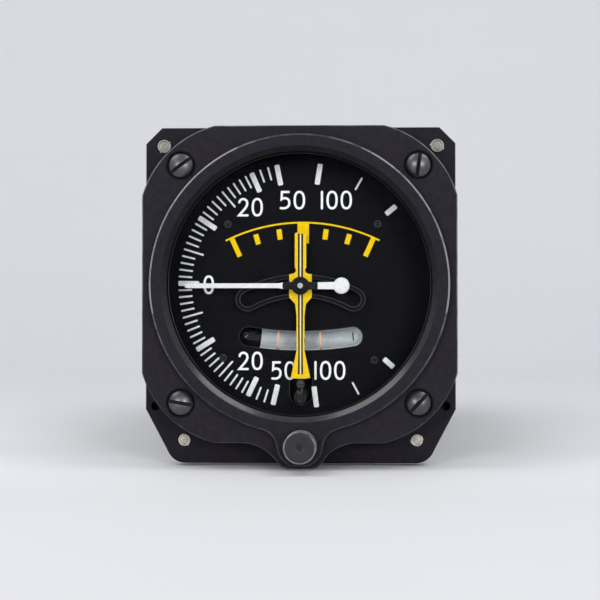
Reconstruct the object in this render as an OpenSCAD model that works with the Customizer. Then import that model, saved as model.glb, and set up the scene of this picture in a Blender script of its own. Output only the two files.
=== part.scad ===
// Combined flight instrument: rate of climb, turn and slip behind one glass.
// Millimetres. The face looks along -Y, +X is to the right, +Z is up.
// The origin is on the case axis, on the rear face of the mounting flange.

/* [Case] */
// Outer radius of the case tube
case_r = 40; // [39.8:0.1:40.2]
// Wall thickness of the case tube
case_wall = 2; // [1.6:0.1:2]
// Depth of the case behind the flange
case_len = 126; // [126:1:150]
// Thickness of the mounting flange
flange_t = 5; // [4.6:0.1:5]
// Half width of the mounting flange
flange_hw = 43; // [42.8:0.1:44]
// Height of the flange's top edge above the axis
flange_top = 43.7; // [43.5:0.1:45]
// Depth of the flange's bottom edge below the axis
flange_bot = 49.4; // [49.2:0.1:50]

/* [Bezel] */
// Half width of the bezel base
bezel_hw = 43.25; // [43:0.05:43.5]
// Half height of the bezel base
bezel_hh = 43.55; // [43.4:0.05:43.7]
// Corner radius of the bezel base
bezel_cr = 27.95; // [27.5:0.05:28.2]
// Front of the bezel base, in front of the flange's rear face
bezel_base_y = 13; // [12.5:0.1:13.5]
// Front of the raised ring
bezel_ring_y = 15.5; // [15:0.1:16.5]
// Outer radius of the raised ring
ring_r = 41.13; // [41:0.01:41.3]
// Radius of the opening in front of the glass
open_r = 36.3; // [36:0.1:36.5]
// Half spacing of the bezel screws
bscrew_p = 32.6; // [32:0.1:33]

/* [Dial] */
// Radius of the dial plate
dial_r = 37.5; // [37:0.1:37.6]
// Radius of curvature of the slip tube
slip_R = 92; // [90:1:95]
// Outer radius of the slip tube
slip_r = 2.4; // [2.3:0.05:2.4]
// Height of the slip tube's middle
slip_z = -15.5; // [-15.7:0.1:-15.3]

/* [Pointers] */
// Height of the turn pointer's pivot
turn_z = -31.2; // [-31.2:0.1:-31.2]
// Height of the rate-of-climb pointer's axis
climb_z = -0.3; // [-0.3:0.1:-0.3]
// Length of the rate-of-climb pointer
climb_len = 32; // [28:0.5:33]

/* [Knob] */
// Radius of the zero-setting knob
knob_r = 4.45; // [4:0.05:4.6]
// Height of the knob's axis
knob_z = -44.2; // [-44.2:0.1:-44.2]
// Front of the knob
knob_y = 26; // [22:0.5:28]

/* [Gyro] */
// Radius of the gyro rotor
rotor_r = 20; // [16:0.5:20]
// Position of the rotor's axle behind the flange
rotor_y = 80; // [80:1:80]

/* [Hidden] */
$fn = 64;

// colours
c_black = [0.07, 0.07, 0.075];
c_dark = [0.13, 0.13, 0.135];
c_alu = [0.72, 0.71, 0.66];
c_brass = [0.72, 0.58, 0.3];
c_steel = [0.5, 0.51, 0.53];
c_white = [0.9, 0.91, 0.88];
c_yellow = [0.95, 0.72, 0.02];
c_orange = [0.9, 0.4, 0.1];
c_glass = [0.8, 0.9, 0.9, 0.3];
c_copper = [0.7, 0.4, 0.25];

// positions shared by several pieces
fp0 = 4.5;    fp1 = 6.5;      // front plate
mp0 = 15;     mp1 = 16.5;     // middle plate
bh0 = 44;     bh1 = 46;       // bulkhead
rp0 = 112;    rp1 = 114;      // rear plate
in_r = case_r - case_wall;    // inside of the case
frame_r = 37.9;               // plates inside the case
arbor_x = 19.2;               // rocking arbor, from the pointer shaft
arm_x = 14.2;                 // capsule stem, 5 mm from the arbor
arm_y = 31;                   // capsule axis behind the flange
rod_p = [[30, 15], [-30, 15], [30, -15], [-30, -15]];
dscrew_p = [[-20.5, 17.1], [21.4, 17.1], [-21.8, -20.3], [20.5, -20.9]];
bush_p = [[-37.95, 38.6], [37.95, 38.6], [-32.25, -43.1], [32.25, -43.1]];
bush_r = [1.92, 1.92, 1.7, 1.7];
loc_x = 40.2;  loc_z = -33.6;
knob_x = 0.5;
boss_bot = 50.2;                // lowest point of the bezel's boss

// cylinder along Y from y0 to y1
module yc(r, y0, y1, x = 0, z = 0, fn = 64)
  translate([x, y0, z]) rotate([-90, 0, 0]) cylinder(r = r, h = y1 - y0, $fn = fn);
// cone along Y
module ycone(r0, r1, y0, y1, x = 0, z = 0)
  translate([x, y0, z]) rotate([-90, 0, 0]) cylinder(r1 = r0, r2 = r1, h = y1 - y0);
// ring along Y
module yring(ro, ri, y0, y1, x = 0, z = 0)
  difference() { yc(ro, y0, y1, x, z); yc(ri, y0 - 1, y1 + 1, x, z); }
// cylinder along X
module xc(r, x0, x1, y = 0, z = 0)
  translate([x0, y, z]) rotate([0, 90, 0]) cylinder(r = r, h = x1 - x0);
// flat shape in XZ, extruded from y0 to y1
module ye(y0, y1) translate([0, y1, 0]) rotate([90, 0, 0]) linear_extrude(y1 - y0) children();
// box from corner to corner
module bx(a, b) translate(a) cube(b - a);
// points on an arc
function arcp(cx, cz, r, a0, a1, n) = [for (i = [0:n]) let (a = a0 + (a1 - a0) * i / n)
  [cx + r * cos(a), cz + r * sin(a)]];
// involute tooth flank helpers
function inv_t(r, rb) = sqrt(pow(r / rb, 2) - 1);
function inv_a(r, rb) = inv_t(r, rb) * 180 / PI - atan(inv_t(r, rb));
// one gear tooth outline, centred on angle a, module m, z teeth, cut back by bl
function tooth(m, z, a, ha, hd, bl) = let (rp = m * z / 2, rb = rp * cos(20), ra = rp + ha,
  rf = rp - hd, h = 90 / z - bl / rp * 90 / PI + inv_a(rp, rb), r0 = max(rb * 1.001, rf),
  rs = [for (i = [0:4]) r0 + (ra - r0) * i / 4])
  concat([rf * [cos(a - h - 360 / z * 0.06), sin(a - h - 360 / z * 0.06)]],
    [for (r = rs) let (t = h - inv_a(r, rb)) r * [cos(a - t), sin(a - t)]],
    [for (i = [4:-1:0]) let (r = rs[i], t = h - inv_a(r, rb)) r * [cos(a + t), sin(a + t)]],
    [rf * [cos(a + h + 360 / z * 0.06), sin(a + h + 360 / z * 0.06)]]);
module gear2d(m, z, a0, ha, hd, bl, n)
  polygon([for (k = [0:n - 1]) each tooth(m, z, a0 + 360 * k / z, ha, hd, bl)]);

// outline of the mounting flange
module flange_outline() {
  w = flange_hw; t = flange_top; b = -flange_bot; c = 4.3;
  polygon(concat(
    [[-w, -34.5], [-w, t - c - 0.5], [-w + 0.35, t - c + 0.35], [-w + c - 0.35, t - 0.35], [-w + c + 0.5, t]],
    [[w - c - 0.5, t], [w - c + 0.35, t - 0.35], [w - 0.35, t - c + 0.35], [w, t - c - 0.5], [w, -34.5]],
    arcp(32.0, b + 5.2, 5.2, -29.5, -90, 7),
    arcp(-32.0, b + 5.2, 5.2, -90, -150.5, 7)));
}
// outline of the bezel base, with the boss for the knob
module base_outline() {
  p = 16.44;
  intersection() {
    union() {
      square([2 * p, 2 * (p + bezel_cr)], center = true);
      square([2 * (p + bezel_cr), 2 * p], center = true);
      for (x = [-p, p], z = [-p, p]) translate([x, z]) circle(r = bezel_cr, $fn = 96);
    }
    square([2 * bezel_hw, 2 * bezel_hh], center = true);
  }
  intersection() {
    union() {
      translate([0.1, -43.6]) circle(r = 8.1);
      difference() {
        translate([-16.1, -48.4]) square([32.1, 9]);
        for (x = [-16.1, 16]) translate([x, -55.55]) circle(r = 12);
      }
    }
    translate([-20, -boss_bot]) square([40, 20]);
  }
}
// outline of the raised ring, with its smaller boss
module ring_outline() {
  circle(r = ring_r, $fn = 128);
  intersection() {
    union() {
      translate([0.15, -43.8]) circle(r = 6.45);
      difference() {
        polygon([[-10.6, -39.2], [10.9, -39.2], [7.4, -44.4], [-7.1, -44.4]]);
        for (s = [-1, 1]) translate([0.15 + s * 11.55, -44.9]) circle(r = 5.15);
      }
    }
    translate([-20, -boss_bot]) square([40, 20]);
  }
}

module mounting_flange() color(c_black) difference() {
  ye(-flange_t, 0) flange_outline();
  yc(case_r - 0.5, -flange_t - 1, 1, fn = 128);
  for (i = [0:3]) yc(bush_r[i], -flange_t - 1, 1, bush_p[i][0], bush_p[i][1]);
  for (s = [-1, 1]) yc(1.25, -flange_t - 1, -1, s * loc_x, loc_z);
  for (x = [-bscrew_p, bscrew_p], z = [-bscrew_p, bscrew_p]) yc(2, -flange_t - 1, -0.6, x, z);
  // pocket of the zero-setting pinion and channel of its rack
  yc(2.6, -flange_t - 1, -1.4, knob_x, knob_z);
  bx([knob_x + 1.3, -flange_t - 1, -48.2], [knob_x + 4.35, -1.65, -39]);
}
// blind threaded bushes, closed at the front, open to the rear
module flange_bushes() color(c_alu) for (i = [0:3]) difference() {
  union() {
    yc(bush_r[i], -flange_t, 0, bush_p[i][0], bush_p[i][1]);
    yc(bush_r[i] - 0.25, -flange_t - 0.12, -flange_t, bush_p[i][0], bush_p[i][1]);
  }
  yc(1.25, -3.6, 1, bush_p[i][0], bush_p[i][1]);
}
module case_tube() color(c_black) difference() {
  union() {
    difference() {
      union() {
        yc(case_r - 0.5, -flange_t, 1, fn = 128);
        yc(case_r, 0, case_len, fn = 128);
      }
      yc(in_r, -flange_t - 1, case_len + 1, fn = 128);
    }
    yring(in_r + 0.5, 31, case_len - 5, case_len);
  }
  for (a = [0:90:270]) yc(1.5, case_len - 6, case_len + 1, 34.5 * cos(a), 34.5 * sin(a));
  bx([knob_x + 1.3, -flange_t - 1, -41], [knob_x + 4.35, -1.65, -34]);
}
module bezel() color(c_black) difference() {
  union() {
    ye(-bezel_base_y, -flange_t - 0.4) base_outline();
    ye(-bezel_ring_y, -bezel_base_y) ring_outline();
  }
  ycone(37.7, open_r, -bezel_ring_y - 0.001, -bezel_ring_y + 1.4);
  yc(open_r, -bezel_ring_y - 1, -12.4, fn = 128);
  yc(38.6, -12.5, 0, fn = 128);
  for (x = [-bscrew_p, bscrew_p], z = [-bscrew_p, bscrew_p]) {
    yc(3.75, -bezel_ring_y - 1, -11.2, x, z);
    ycone(4.2, 3.75, -bezel_base_y - 0.001, -bezel_base_y + 0.45, x, z);
    yc(2.15, -bezel_ring_y, 0, x, z);
  }
  yc(1.58, -bezel_ring_y - 1, 0, knob_x, knob_z);
  yc(4.75, -bezel_ring_y - 1, -bezel_ring_y + 1.5, knob_x, knob_z);
  yc(2.6, -bezel_ring_y + 1, -bezel_ring_y + 3.2, knob_x, knob_z);
  yc(2.6, -7.4, 0, knob_x, knob_z);
}
module bezel_gasket() color([0.03, 0.03, 0.03]) difference() {
  ye(-flange_t - 0.4, -flange_t) intersection() {
    square([2 * bezel_hw - 1.2, 2 * bezel_hh - 1.2], center = true);
    circle(r = 50.4, $fn = 128);
  }
  yc(39, -flange_t - 1, 0, fn = 128);
  for (x = [-bscrew_p, bscrew_p], z = [-bscrew_p, bscrew_p]) yc(2.3, -flange_t - 1, 0, x, z);
  bx([knob_x - 5, -flange_t - 1, -44], [knob_x + 5, 0, -41.2]);
}
module bezel_screws() color(c_steel) for (k = [0:3])
  let (x = [-1, 1, -1, 1][k] * bscrew_p, z = [1, 1, -1, -1][k] * bscrew_p, a = [37, 82, -10, 47][k])
  difference() {
    union() {
      intersection() {
        yc(3.45, -14.1, -11.2, x, z);
        translate([x, -11.2 + 2.1, z]) sphere(r = 5, $fn = 48);
      }
      yc(2, -11.2, -0.6, x, z);
    }
    translate([x, 0, z]) rotate([0, -a, 0]) bx([-5, -16, -0.42], [5, -12.5, 0.42]);
  }
module glass() color(c_glass) yc(38.3, -12.5, -9.9, fn = 128);
module glass_gasket() color([0.05, 0.05, 0.05]) yring(38.3, 36.6, -9.9, -9.1);
module retaining_ring() color(c_dark) difference() {
  yring(38.6, 36.5, -9.1, -7.3);
  for (a = [45, 225]) rotate([0, a, 0]) bx([34, -7.9, -1], [38, -7, 1]);
}
// the dial is a black plate with a curved window and a pivot cut-out
module slip_slot(dr, xr) {
  a = asin(xr / slip_R);
  intersection() {
    difference() {
      translate([0, slip_z + slip_R]) circle(r = slip_R + dr, $fn = 160);
      translate([0, slip_z + slip_R]) circle(r = slip_R - dr, $fn = 160);
    }
    translate([0, slip_z + slip_R]) polygon([[0, 0], [-120 * sin(a), -120 * cos(a)], [120 * sin(a), -120 * cos(a)]]);
  }
  for (s = [-1, 1]) translate([s * slip_R * sin(a), slip_z + slip_R - slip_R * cos(a)]) circle(r = dr);
}
module dial() color(c_black) difference() {
  yc(dial_r, -1, 0, fn = 128);
  ye(-2, 1) slip_slot(2.75, 14.6);
  yc(1.7, -2, 1, 0, climb_z);
  yc(3.2, -2, 1, 0, -30.2);
  bx([-3.2, -2, -30.2], [3.2, 1, -25.9]);
  for (p = dscrew_p) yc(0.85, -2, 1, p[0], p[1]);
}
module dial_posts() color(c_brass) for (p = dscrew_p) difference() {
  yc(1.8, 0, fp0, p[0], p[1]);
  yc(0.8, -1, fp0 - 1, p[0], p[1]);
}
module dial_screws() color([0.03, 0.03, 0.03]) for (i = [0:3]) let (p = dscrew_p[i]) difference() {
  union() {
    yc(1.05, -1.35, -1, p[0], p[1]);
    yc(0.8, -1, 3.2, p[0], p[1]);
  }
  translate([p[0], 0, p[1]]) rotate([0, 30 + 50 * i, 0]) bx([-2, -2, -0.14], [2, -1.12, 0.14]);
}
// sealed curved glass tube
module slip_arc(ri, ro, a, y)
  translate([0, y, slip_z + slip_R]) rotate([90, 0, 0]) rotate([0, 0, -90 - a])
    rotate_extrude(angle = 2 * a, $fn = 96) translate([slip_R, 0])
      difference() { circle(r = ro, $fn = 40); if (ri > 0) circle(r = ri, $fn = 40); }
module slip_tube() color(c_glass) {
  a = asin(15.2 / slip_R);
  slip_arc(1.4, slip_r, a, 0.6);
  for (s = [-1, 1]) translate([0, 0.6, slip_z + slip_R]) rotate([0, -s * a, 0])
    translate([0, 0, -slip_R]) rotate([0, s * 90, 0]) {
      cylinder(r = slip_r, h = 1);
      translate([0, 0, 1]) cylinder(r1 = slip_r, r2 = 1.3, h = 0.9);
    }
}
module slip_backing() color(c_white) intersection() {
  ye(3.1, 3.6) slip_slot(2.6, 14.3);
  bx([-11.3, 3, -22], [19.7, 4, -8]);
}
module index_wires() color(c_orange) for (x = [-6.35, 5.45]) {
  h = slip_z + slip_R - sqrt(slip_R * slip_R - x * x);
  translate([x, 0.6, h]) rotate([0, -asin(x / slip_R), 0]) difference() {
    translate([0, 0, 0]) rotate([0, 90, 0]) cylinder(r = 2.62, h = 0.45, center = true);
    rotate([0, 90, 0]) cylinder(r = 2.4, h = 1, center = true);
    bx([-1, 1.9, -3], [1, 4, 3]);
  }
}
module slip_ball() color([0.05, 0.05, 0.05]) translate([0, 0.6, slip_z]) sphere(r = 1.2, $fn = 40);

// rate-of-climb pointer: white bar, black middle, round counterweight
module climb_pointer() color(c_white) difference() {
  union() {
    ye(-7.1, -6.6) {
      polygon([[-climb_len, climb_z - 0.5], [-climb_len, climb_z + 0.5], [-31, climb_z + 0.68], [-6, climb_z + 0.68],
        [-5, climb_z + 0.95], [5, climb_z + 0.95], [9.5, climb_z + 1.02], [9.5, climb_z - 1.02], [5, climb_z - 0.95],
        [-5, climb_z - 0.95], [-6, climb_z - 0.68], [-31, climb_z - 0.68]]);
      translate([11.4, climb_z]) circle(r = 2.27);
    }
    yc(2.5, -7.2, -6.5, 0, climb_z);
  }
  yc(0.75, -9, 0, 0, climb_z);
}
module climb_shaft() color(c_steel) {
  yc(0.75, -7.7, mp1 + 0.6, 0, climb_z, 32);
  yc(1.4, -6.5, -5.4, 0, climb_z, 32);
  difference() {
    ye(8.6, 11.4) translate([0, climb_z]) gear2d(0.4, 12, 15, 0.24, 0.42, 0.05, 12);
    yc(0.75, 8, 12, 0, climb_z, 32);
  }
}
module front_plate() color(c_brass) difference() {
  yc(frame_r, fp0, fp1, fn = 128);
  yc(2.2, fp0 - 1, fp1 + 1, 0, climb_z);
  yc(2.2, fp0 - 1, fp1 + 1, arbor_x, climb_z);
  yc(2.2, fp0 - 1, fp1 + 1, 0, turn_z);
  for (p = rod_p) yc(1.5, fp0 - 1, fp1 + 1, p[0], p[1]);
  for (s = [-1, 1]) bx([s * 26 - 4, fp0 - 1, -5], [s * 26 + 4, fp1 + 1, 5]);
}
module middle_plate() color(c_brass) difference() {
  intersection() { yc(frame_r, mp0, mp1, fn = 128); bx([-27, 0, -36.5], [27, 40, 27]); }
  yc(2.2, mp0 - 1, mp1 + 1, 0, climb_z);
  yc(2.2, mp0 - 1, mp1 + 1, arbor_x, climb_z);
  yc(2.2, mp0 - 1, mp1 + 1, 0, turn_z);
}
module movement_pillars() color(c_brass) for (p = [[22, 22], [-22, 22], [24, -22], [-24, -22]])
  yc(2, fp1, mp0, p[0], p[1]);
// bushes of the pointer shaft, the rocking arbor and the turn staff
module pivot_bushes() color(c_brass) {
  for (y = [[fp0, fp1], [mp0, mp1]]) {
    yring(2.2, 0.78, y[0], y[1], 0, climb_z);
    yring(2.2, 1.03, y[0], y[1], arbor_x, climb_z);
    yring(2.2, 0.93, y[0], y[1], 0, turn_z);
  }
  yring(2.2, 1.03, bh0, bh1, arbor_x, climb_z);
  yring(2.2, 0.93, bh0, bh1, 0, turn_z);
}
// gear sector, 84 teeth to the full circle, meshing with the 12-tooth pinion
module sector_gear() color(c_brass) difference() {
  ye(9, 11) translate([arbor_x, climb_z]) {
    intersection() {
      gear2d(0.4, 84, 180, 0.24, 0.42, 0.05, 84);
      polygon([[0, 0], [-20 * cos(26), 20 * sin(26)], [-20, 0], [-20 * cos(26), -20 * sin(26)]]);
    }
    circle(r = 3.2);
  }
  yc(1, 8, 12, arbor_x, climb_z);
  ye(8, 12) difference() {
    translate([arbor_x, climb_z]) difference() { circle(r = 13.4); circle(r = 4.6); }
    for (a = [-1, 0, 1]) translate([arbor_x, climb_z]) rotate(a * 24) translate([-18, -1]) square([18, 2]);
    translate([arbor_x, climb_z]) polygon([[0, 0], [-20 * cos(22), 20 * sin(22)], [-20 * cos(40), 20 * sin(40)]]);
    translate([arbor_x, climb_z]) polygon([[0, 0], [-20 * cos(22), -20 * sin(22)], [-20 * cos(40), -20 * sin(40)]]);
  }
}
module rocking_arbor() color(c_steel) {
  yc(1, fp0, bh1, arbor_x, climb_z, 32);
  difference() {
    union() {
      yc(2, 27.4, 29.4, arbor_x, climb_z, 32);
      bx([arm_x - 1.4, 27.4, climb_z - 1.1], [arbor_x, 29.4, climb_z + 1.1]);
    }
    yc(1, 27, 30, arbor_x, climb_z, 32);
  }
  yc(0.8, 29.4, 32.8, arm_x, climb_z, 32);
}
// flat spiral spring beside the pointer shaft
module hairspring() color(c_steel) ye(12.6, 13.2) difference() {
  n = 72; r0 = 2; p = 0.9; t = 0.12;
  polygon(concat(
    [for (i = [0:n]) let (a = i * 15, r = r0 + p * a / 360 + t) [r * cos(a), climb_z + r * sin(a)]],
    [for (i = [n:-1:0]) let (a = i * 15, r = r0 + p * a / 360 - t) [r * cos(a), climb_z + r * sin(a)]]));
}
// corrugated pressure capsule, axis along Z
module capsule() color(c_brass) translate([arm_x, arm_y, -25]) rotate_extrude($fn = 96)
  polygon([[0, 0], [4, 0], [4, 0.8], [5.5, 1.3], [7, 0.9], [8.5, 1.5], [10, 1.1], [11.4, 2.1], [11.9, 2.7], [11.4, 3.3],
    [6, 4], [4, 4.3], [4, 5.2], [6, 5.5], [11.4, 6.2], [11.9, 6.8], [11.4, 7.4], [10, 8.4], [8.5, 8], [7, 8.6], [5.5, 8.2], [4, 8.7], [4, 9.5], [0, 9.5]]);
module capsule_bracket() color(c_alu) {
  bx([5, mp1, -28], [23, bh0, -26.4]);
  translate([arm_x, arm_y, -26.4]) cylinder(r = 3.5, h = 1.4);
}
// stem with a slotted yoke round the arm's pin
module capsule_stem() color(c_steel) difference() {
  union() {
    translate([arm_x, arm_y, -15.45]) cylinder(r = 0.9, h = 13, $fn = 32);
    translate([arm_x, arm_y, -15.45]) cylinder(r = 2.2, h = 0.8, $fn = 32);
    bx([arm_x - 2.8, 30.1, climb_z - 2.4], [arm_x + 2.8, 32.1, climb_z + 2.4]);
  }
  bx([arm_x - 1.5, 29, climb_z - 0.95], [arm_x + 1.5, 33, climb_z + 0.95]);
}
module capillary_leak() color(c_steel) {
  yc(3, 24, 38, -22, -20);
  yc(1.2, 38, 41, -22, -20);
  yc(1.6, mp1, 24, -22, -20);
}
// static pipe from the rear nipple to the capsule's foot
module static_pipe() color(c_copper) {
  a = [25.5, 116, -25.2]; b = [22, 121, -20]; d = b - a; L = norm(d);
  yc(1, arm_y, a[1], a[0], a[2], 32);
  translate(a) sphere(r = 1.02, $fn = 32);
  translate(a) rotate([0, acos(d[2] / L), atan2(d[1], d[0])]) cylinder(r = 1, h = L, $fn = 32);
  translate(b) sphere(r = 1.02, $fn = 32);
  yc(1, b[1], case_len + 1, b[0], b[2], 32);
  translate([25.5, arm_y, -25.2]) sphere(r = 1.1, $fn = 32);
  xc(0.6, arm_x + 3.5, 25.5, arm_y, -25.7);
}
// turn pointer: yellow blade, slotted loop frame, tail to the pivot
module loop2d(w, a, r = 30.9) polygon(concat(
  arcp(0, turn_z, r + w, 90 - a, 90 + a, 36),
  arcp(-r * sin(a), turn_z + r * cos(a), w, 102 + a, 258 + a, 13),
  arcp(0, turn_z, r - w, 90 + a, 90 - a, 36),
  arcp(r * sin(a), turn_z + r * cos(a), w, -78 - a, 78 - a, 13)));
module turn_pointer() color(c_yellow) difference() {
  union() {
    ye(-4.6, -4.1) {
      polygon([[-1.3, 14.5], [1.3, 14.5], [1.6, 14.2], [1.6, 4.9], [1.3, 4.3], [1.34, 3.7], [1.75, 3.25], [2.3, 3.05],
        [3.15, 2.95], [3.15, -3.5], [1.5, -5.3], [1.12, -8.6], [1.1, -18.2], [2.72, -25.9], [1, -26.4], [1, turn_z],
        [-1, turn_z], [-1, -26.4], [-2.72, -25.9], [-1.1, -18.2], [-1.12, -8.6], [-1.5, -5.3], [-3.15, -3.5],
        [-3.15, 2.95], [-2.3, 3.05], [-1.75, 3.25], [-1.34, 3.7], [-1.3, 4.3], [-1.6, 4.9], [-1.6, 14.2]]);
      loop2d(3.27, 28.5);
    }
    yc(1.9, -5, -3.6, 0, turn_z);
  }
  ye(-6, -3) loop2d(2.1, 28.5);
  yc(0.9, -6, -2, 0, turn_z);
}
module turn_staff() color(c_steel) yc(0.9, -5.3, 52.5, 0, turn_z, 32);
module turn_fork() color(c_steel) difference() {
  union() {
    yc(2.4, 48.6, 50.6, 0, turn_z, 32);
    bx([-2.6, 48.6, turn_z], [2.6, 50.6, turn_z + 13.2]);
  }
  yc(0.9, 48, 52, 0, turn_z, 32);
  bx([-1.3, 48, turn_z + 7.4], [1.3, 52, turn_z + 14]);
}
module bulkhead() color(c_alu) difference() {
  yc(frame_r, bh0, bh1, fn = 128);
  yc(2.2, bh0 - 1, bh1 + 1, arbor_x, climb_z);
  yc(2.2, bh0 - 1, bh1 + 1, 0, turn_z);
  yc(4.5, bh0 - 1, bh1 + 1);
  yc(1.3, bh0 - 1, bh1 + 1, 25.5, -25.2);
  for (p = rod_p) yc(1.5, bh0 - 1, bh1 + 1, p[0], p[1]);
}
// post that holds the lower end of the centring spring
module spring_post() color(c_steel) {
  yc(1.2, bh1, 57, -19, -26.6);
  yc(2, bh1, bh1 + 1.5, -19, -26.6);
}
module rear_plate() color(c_alu) difference() {
  yc(frame_r, rp0, rp1, fn = 128);
  yc(4.5, rp0 - 1, rp1 + 1);
  yc(1.3, rp0 - 1, rp1 + 1, 25.5, -25.2);
  for (p = rod_p) yc(1.5, rp0 - 1, rp1 + 1, p[0], p[1]);
  for (a = [90, 270]) rotate([0, a, 0]) bx([16, rp0 - 1, -6], [26, rp1 + 1, 6]);
}
module tie_rods() color(c_steel) for (p = rod_p) {
  yc(1.5, fp0, rp1, p[0], p[1], 32);
  yring(2.6, 1.5, fp1, bh0, p[0], p[1]);
  yring(2.6, 1.5, bh1, rp0, p[0], p[1]);
  yc(2.6, rp1, rp1 + 2, p[0], p[1], 6);
}
module gimbal_bearings() color(c_steel) for (y = [[bh0, bh1 + 1], [rp0 - 1, rp1]])
  yring(4.5, 1.53, y[0], y[1]);
// gimbal: a frame round the rotor, with a lever up and a lever down at its front
module gimbal_frame() color(c_alu) difference() {
  union() {
    bx([-20.5, 53, -6], [20.5, 56, 6]);
    bx([-20.5, 104, -6], [20.5, 107, 6]);
    bx([17.5, 53, -6], [20.5, 107, 6]);
    bx([-20.5, 53, -6], [-17.5, 107, 6]);
    bx([-2.5, 53, 6], [2.5, 56, 22]);
    bx([-2.5, 53, -22.5], [2.5, 56, -6]);
  }
  yc(1.5, 52, 108);
  for (x = [-1, 1]) xc(3.5, x * 19 - 2, x * 19 + 2, rotor_y, 0);
}
module gimbal_pivots() color(c_steel) {
  yc(1.5, bh0, 56, 0, 0, 32);
  yc(1.5, 104, rp1, 0, 0, 32);
  yc(1, 48.2, 53, 0, -20.9, 32);
  yc(0.8, 48.6, 53, 0, 20, 32);
}
module rotor_bearings() color(c_steel) for (s = [-1, 1]) difference() {
  xc(3.5, s * 19 - 1.5, s * 19 + 1.5, rotor_y, 0);
  xc(1.53, s * 19 - 3, s * 19 + 3, rotor_y, 0);
}
module motor_stator() color([0.3, 0.22, 0.15]) difference() {
  union() { xc(10, -12.5, 4, rotor_y, 0); xc(5, -17.5, -12.5, rotor_y, 0); }
  xc(2.4, -20, 10, rotor_y, 0);
}
module gyro_rotor() color(c_brass) translate([0, rotor_y, 0]) rotate([0, 90, 0]) rotate_extrude($fn = 128)
  polygon([[1.5, 5], [4.5, 5], [4.5, 6], [10.6, 6], [10.6, -12], [18, -12], [rotor_r - 0.8, -11], [rotor_r, -9],
    [rotor_r, 9], [rotor_r - 0.8, 11], [18, 12], [12, 12], [11, 9.5], [4.5, 9.5], [4.5, 13], [1.5, 13]]);
module rotor_axle() color(c_steel) xc(1.5, -20.3, 20.3, rotor_y, 0);
// centring spring: a wire coil below the gimbal's left corner
function coil(i) = [-19 + 1.6 * cos(i * 30), 54.5 + 1.6 * sin(i * 30), -25 + i * 18.4 / 84];
module centring_spring() color(c_steel) {
  n = 84; m = 6; r = 0.28;
  pts = [for (i = [0:n]) for (j = [0:m - 1]) let (a = i * 30, b = j * 360 / m, c = coil(i))
    c + r * cos(b) * [cos(a), sin(a), 0] + r * sin(b) * [0, 0, 1]];
  polyhedron(points = pts, faces = concat(
    [for (i = [0:n - 1], j = [0:m - 1]) let (k = (j + 1) % m)
      [i * m + j, (i + 1) * m + j, (i + 1) * m + k, i * m + k]],
    [[for (j = [0:m - 1]) j]], [[for (j = [m - 1:-1:0]) n * m + j]]));
}
// air damper beside the gimbal's upper lever
module damper_cylinder() color(c_alu) difference() {
  union() {
    xc(4, 11, 27, 50, 20);
    bx([15, bh1, 18], [23, 47.5, 22]);
  }
  xc(3.05, 10, 26, 50, 20);
}
module damper_piston() color(c_brass) difference() {
  union() {
    xc(3, 17.5, 19.5, 50, 20);
    xc(0.8, 1.4, 17.5, 50, 20);
    bx([-1.7, 49.2, 17.5], [1.7, 50.8, 22]);
  }
  bx([-0.9, 48, 18.5], [0.9, 52, 20.95]);
}
module rear_cover() color(c_black) difference() {
  union() {
    yc(39.8, case_len + 0.4, case_len + 2.9, fn = 128);
    ycone(39.8, 39.2, case_len + 2.9, case_len + 3.4);
  }
  for (a = [0:90:270]) yc(1.6, case_len - 1, case_len + 5, 34.5 * cos(a), 34.5 * sin(a));
  yc(8, case_len - 1, case_len + 5, 0, 6);
  yc(3, case_len - 1, case_len + 5, 22, -20);
}
module rear_seal() color([0.05, 0.05, 0.05]) difference() {
  yring(39.6, 31, case_len, case_len + 0.4);
  for (a = [0:90:270]) yc(1.6, case_len - 1, case_len + 1, 34.5 * cos(a), 34.5 * sin(a));
}
module rear_cover_screws() color(c_steel) for (a = [0:90:270]) {
  x = 34.5 * cos(a); z = 34.5 * sin(a);
  difference() {
    union() { yc(2.8, case_len + 3.4, case_len + 5.2, x, z); yc(1.5, case_len - 5, case_len + 3.4, x, z, 32); }
    translate([x, 0, z]) rotate([0, 35 + a * 1.7, 0]) bx([-4, case_len + 4.3, -0.35], [4, case_len + 6, 0.35]);
  }
}
// round electrical connector on the rear cover
module connector_shell() color(c_alu) difference() {
  union() {
    yc(8, case_len + 1, case_len + 18, 0, 6);
    ye(case_len + 3.4, case_len + 5.4) translate([0, 6]) square([21, 21], center = true);
  }
  yc(6.6, case_len, case_len + 19, 0, 6);
}
module connector_insert() color([0.25, 0.12, 0.06]) difference() {
  yc(6.6, case_len + 1, case_len + 9, 0, 6);
  for (a = [0:60:300]) yc(0.8, case_len, case_len + 10, 4 * cos(a), 6 + 4 * sin(a));
  yc(0.8, case_len, case_len + 10, 0, 6);
}
module connector_pins() color(c_brass) {
  for (a = [0:60:300]) yc(0.8, case_len, case_len + 12.5, 4 * cos(a), 6 + 4 * sin(a), 24);
  yc(0.8, case_len, case_len + 12.5, 0, 6, 24);
}
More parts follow.
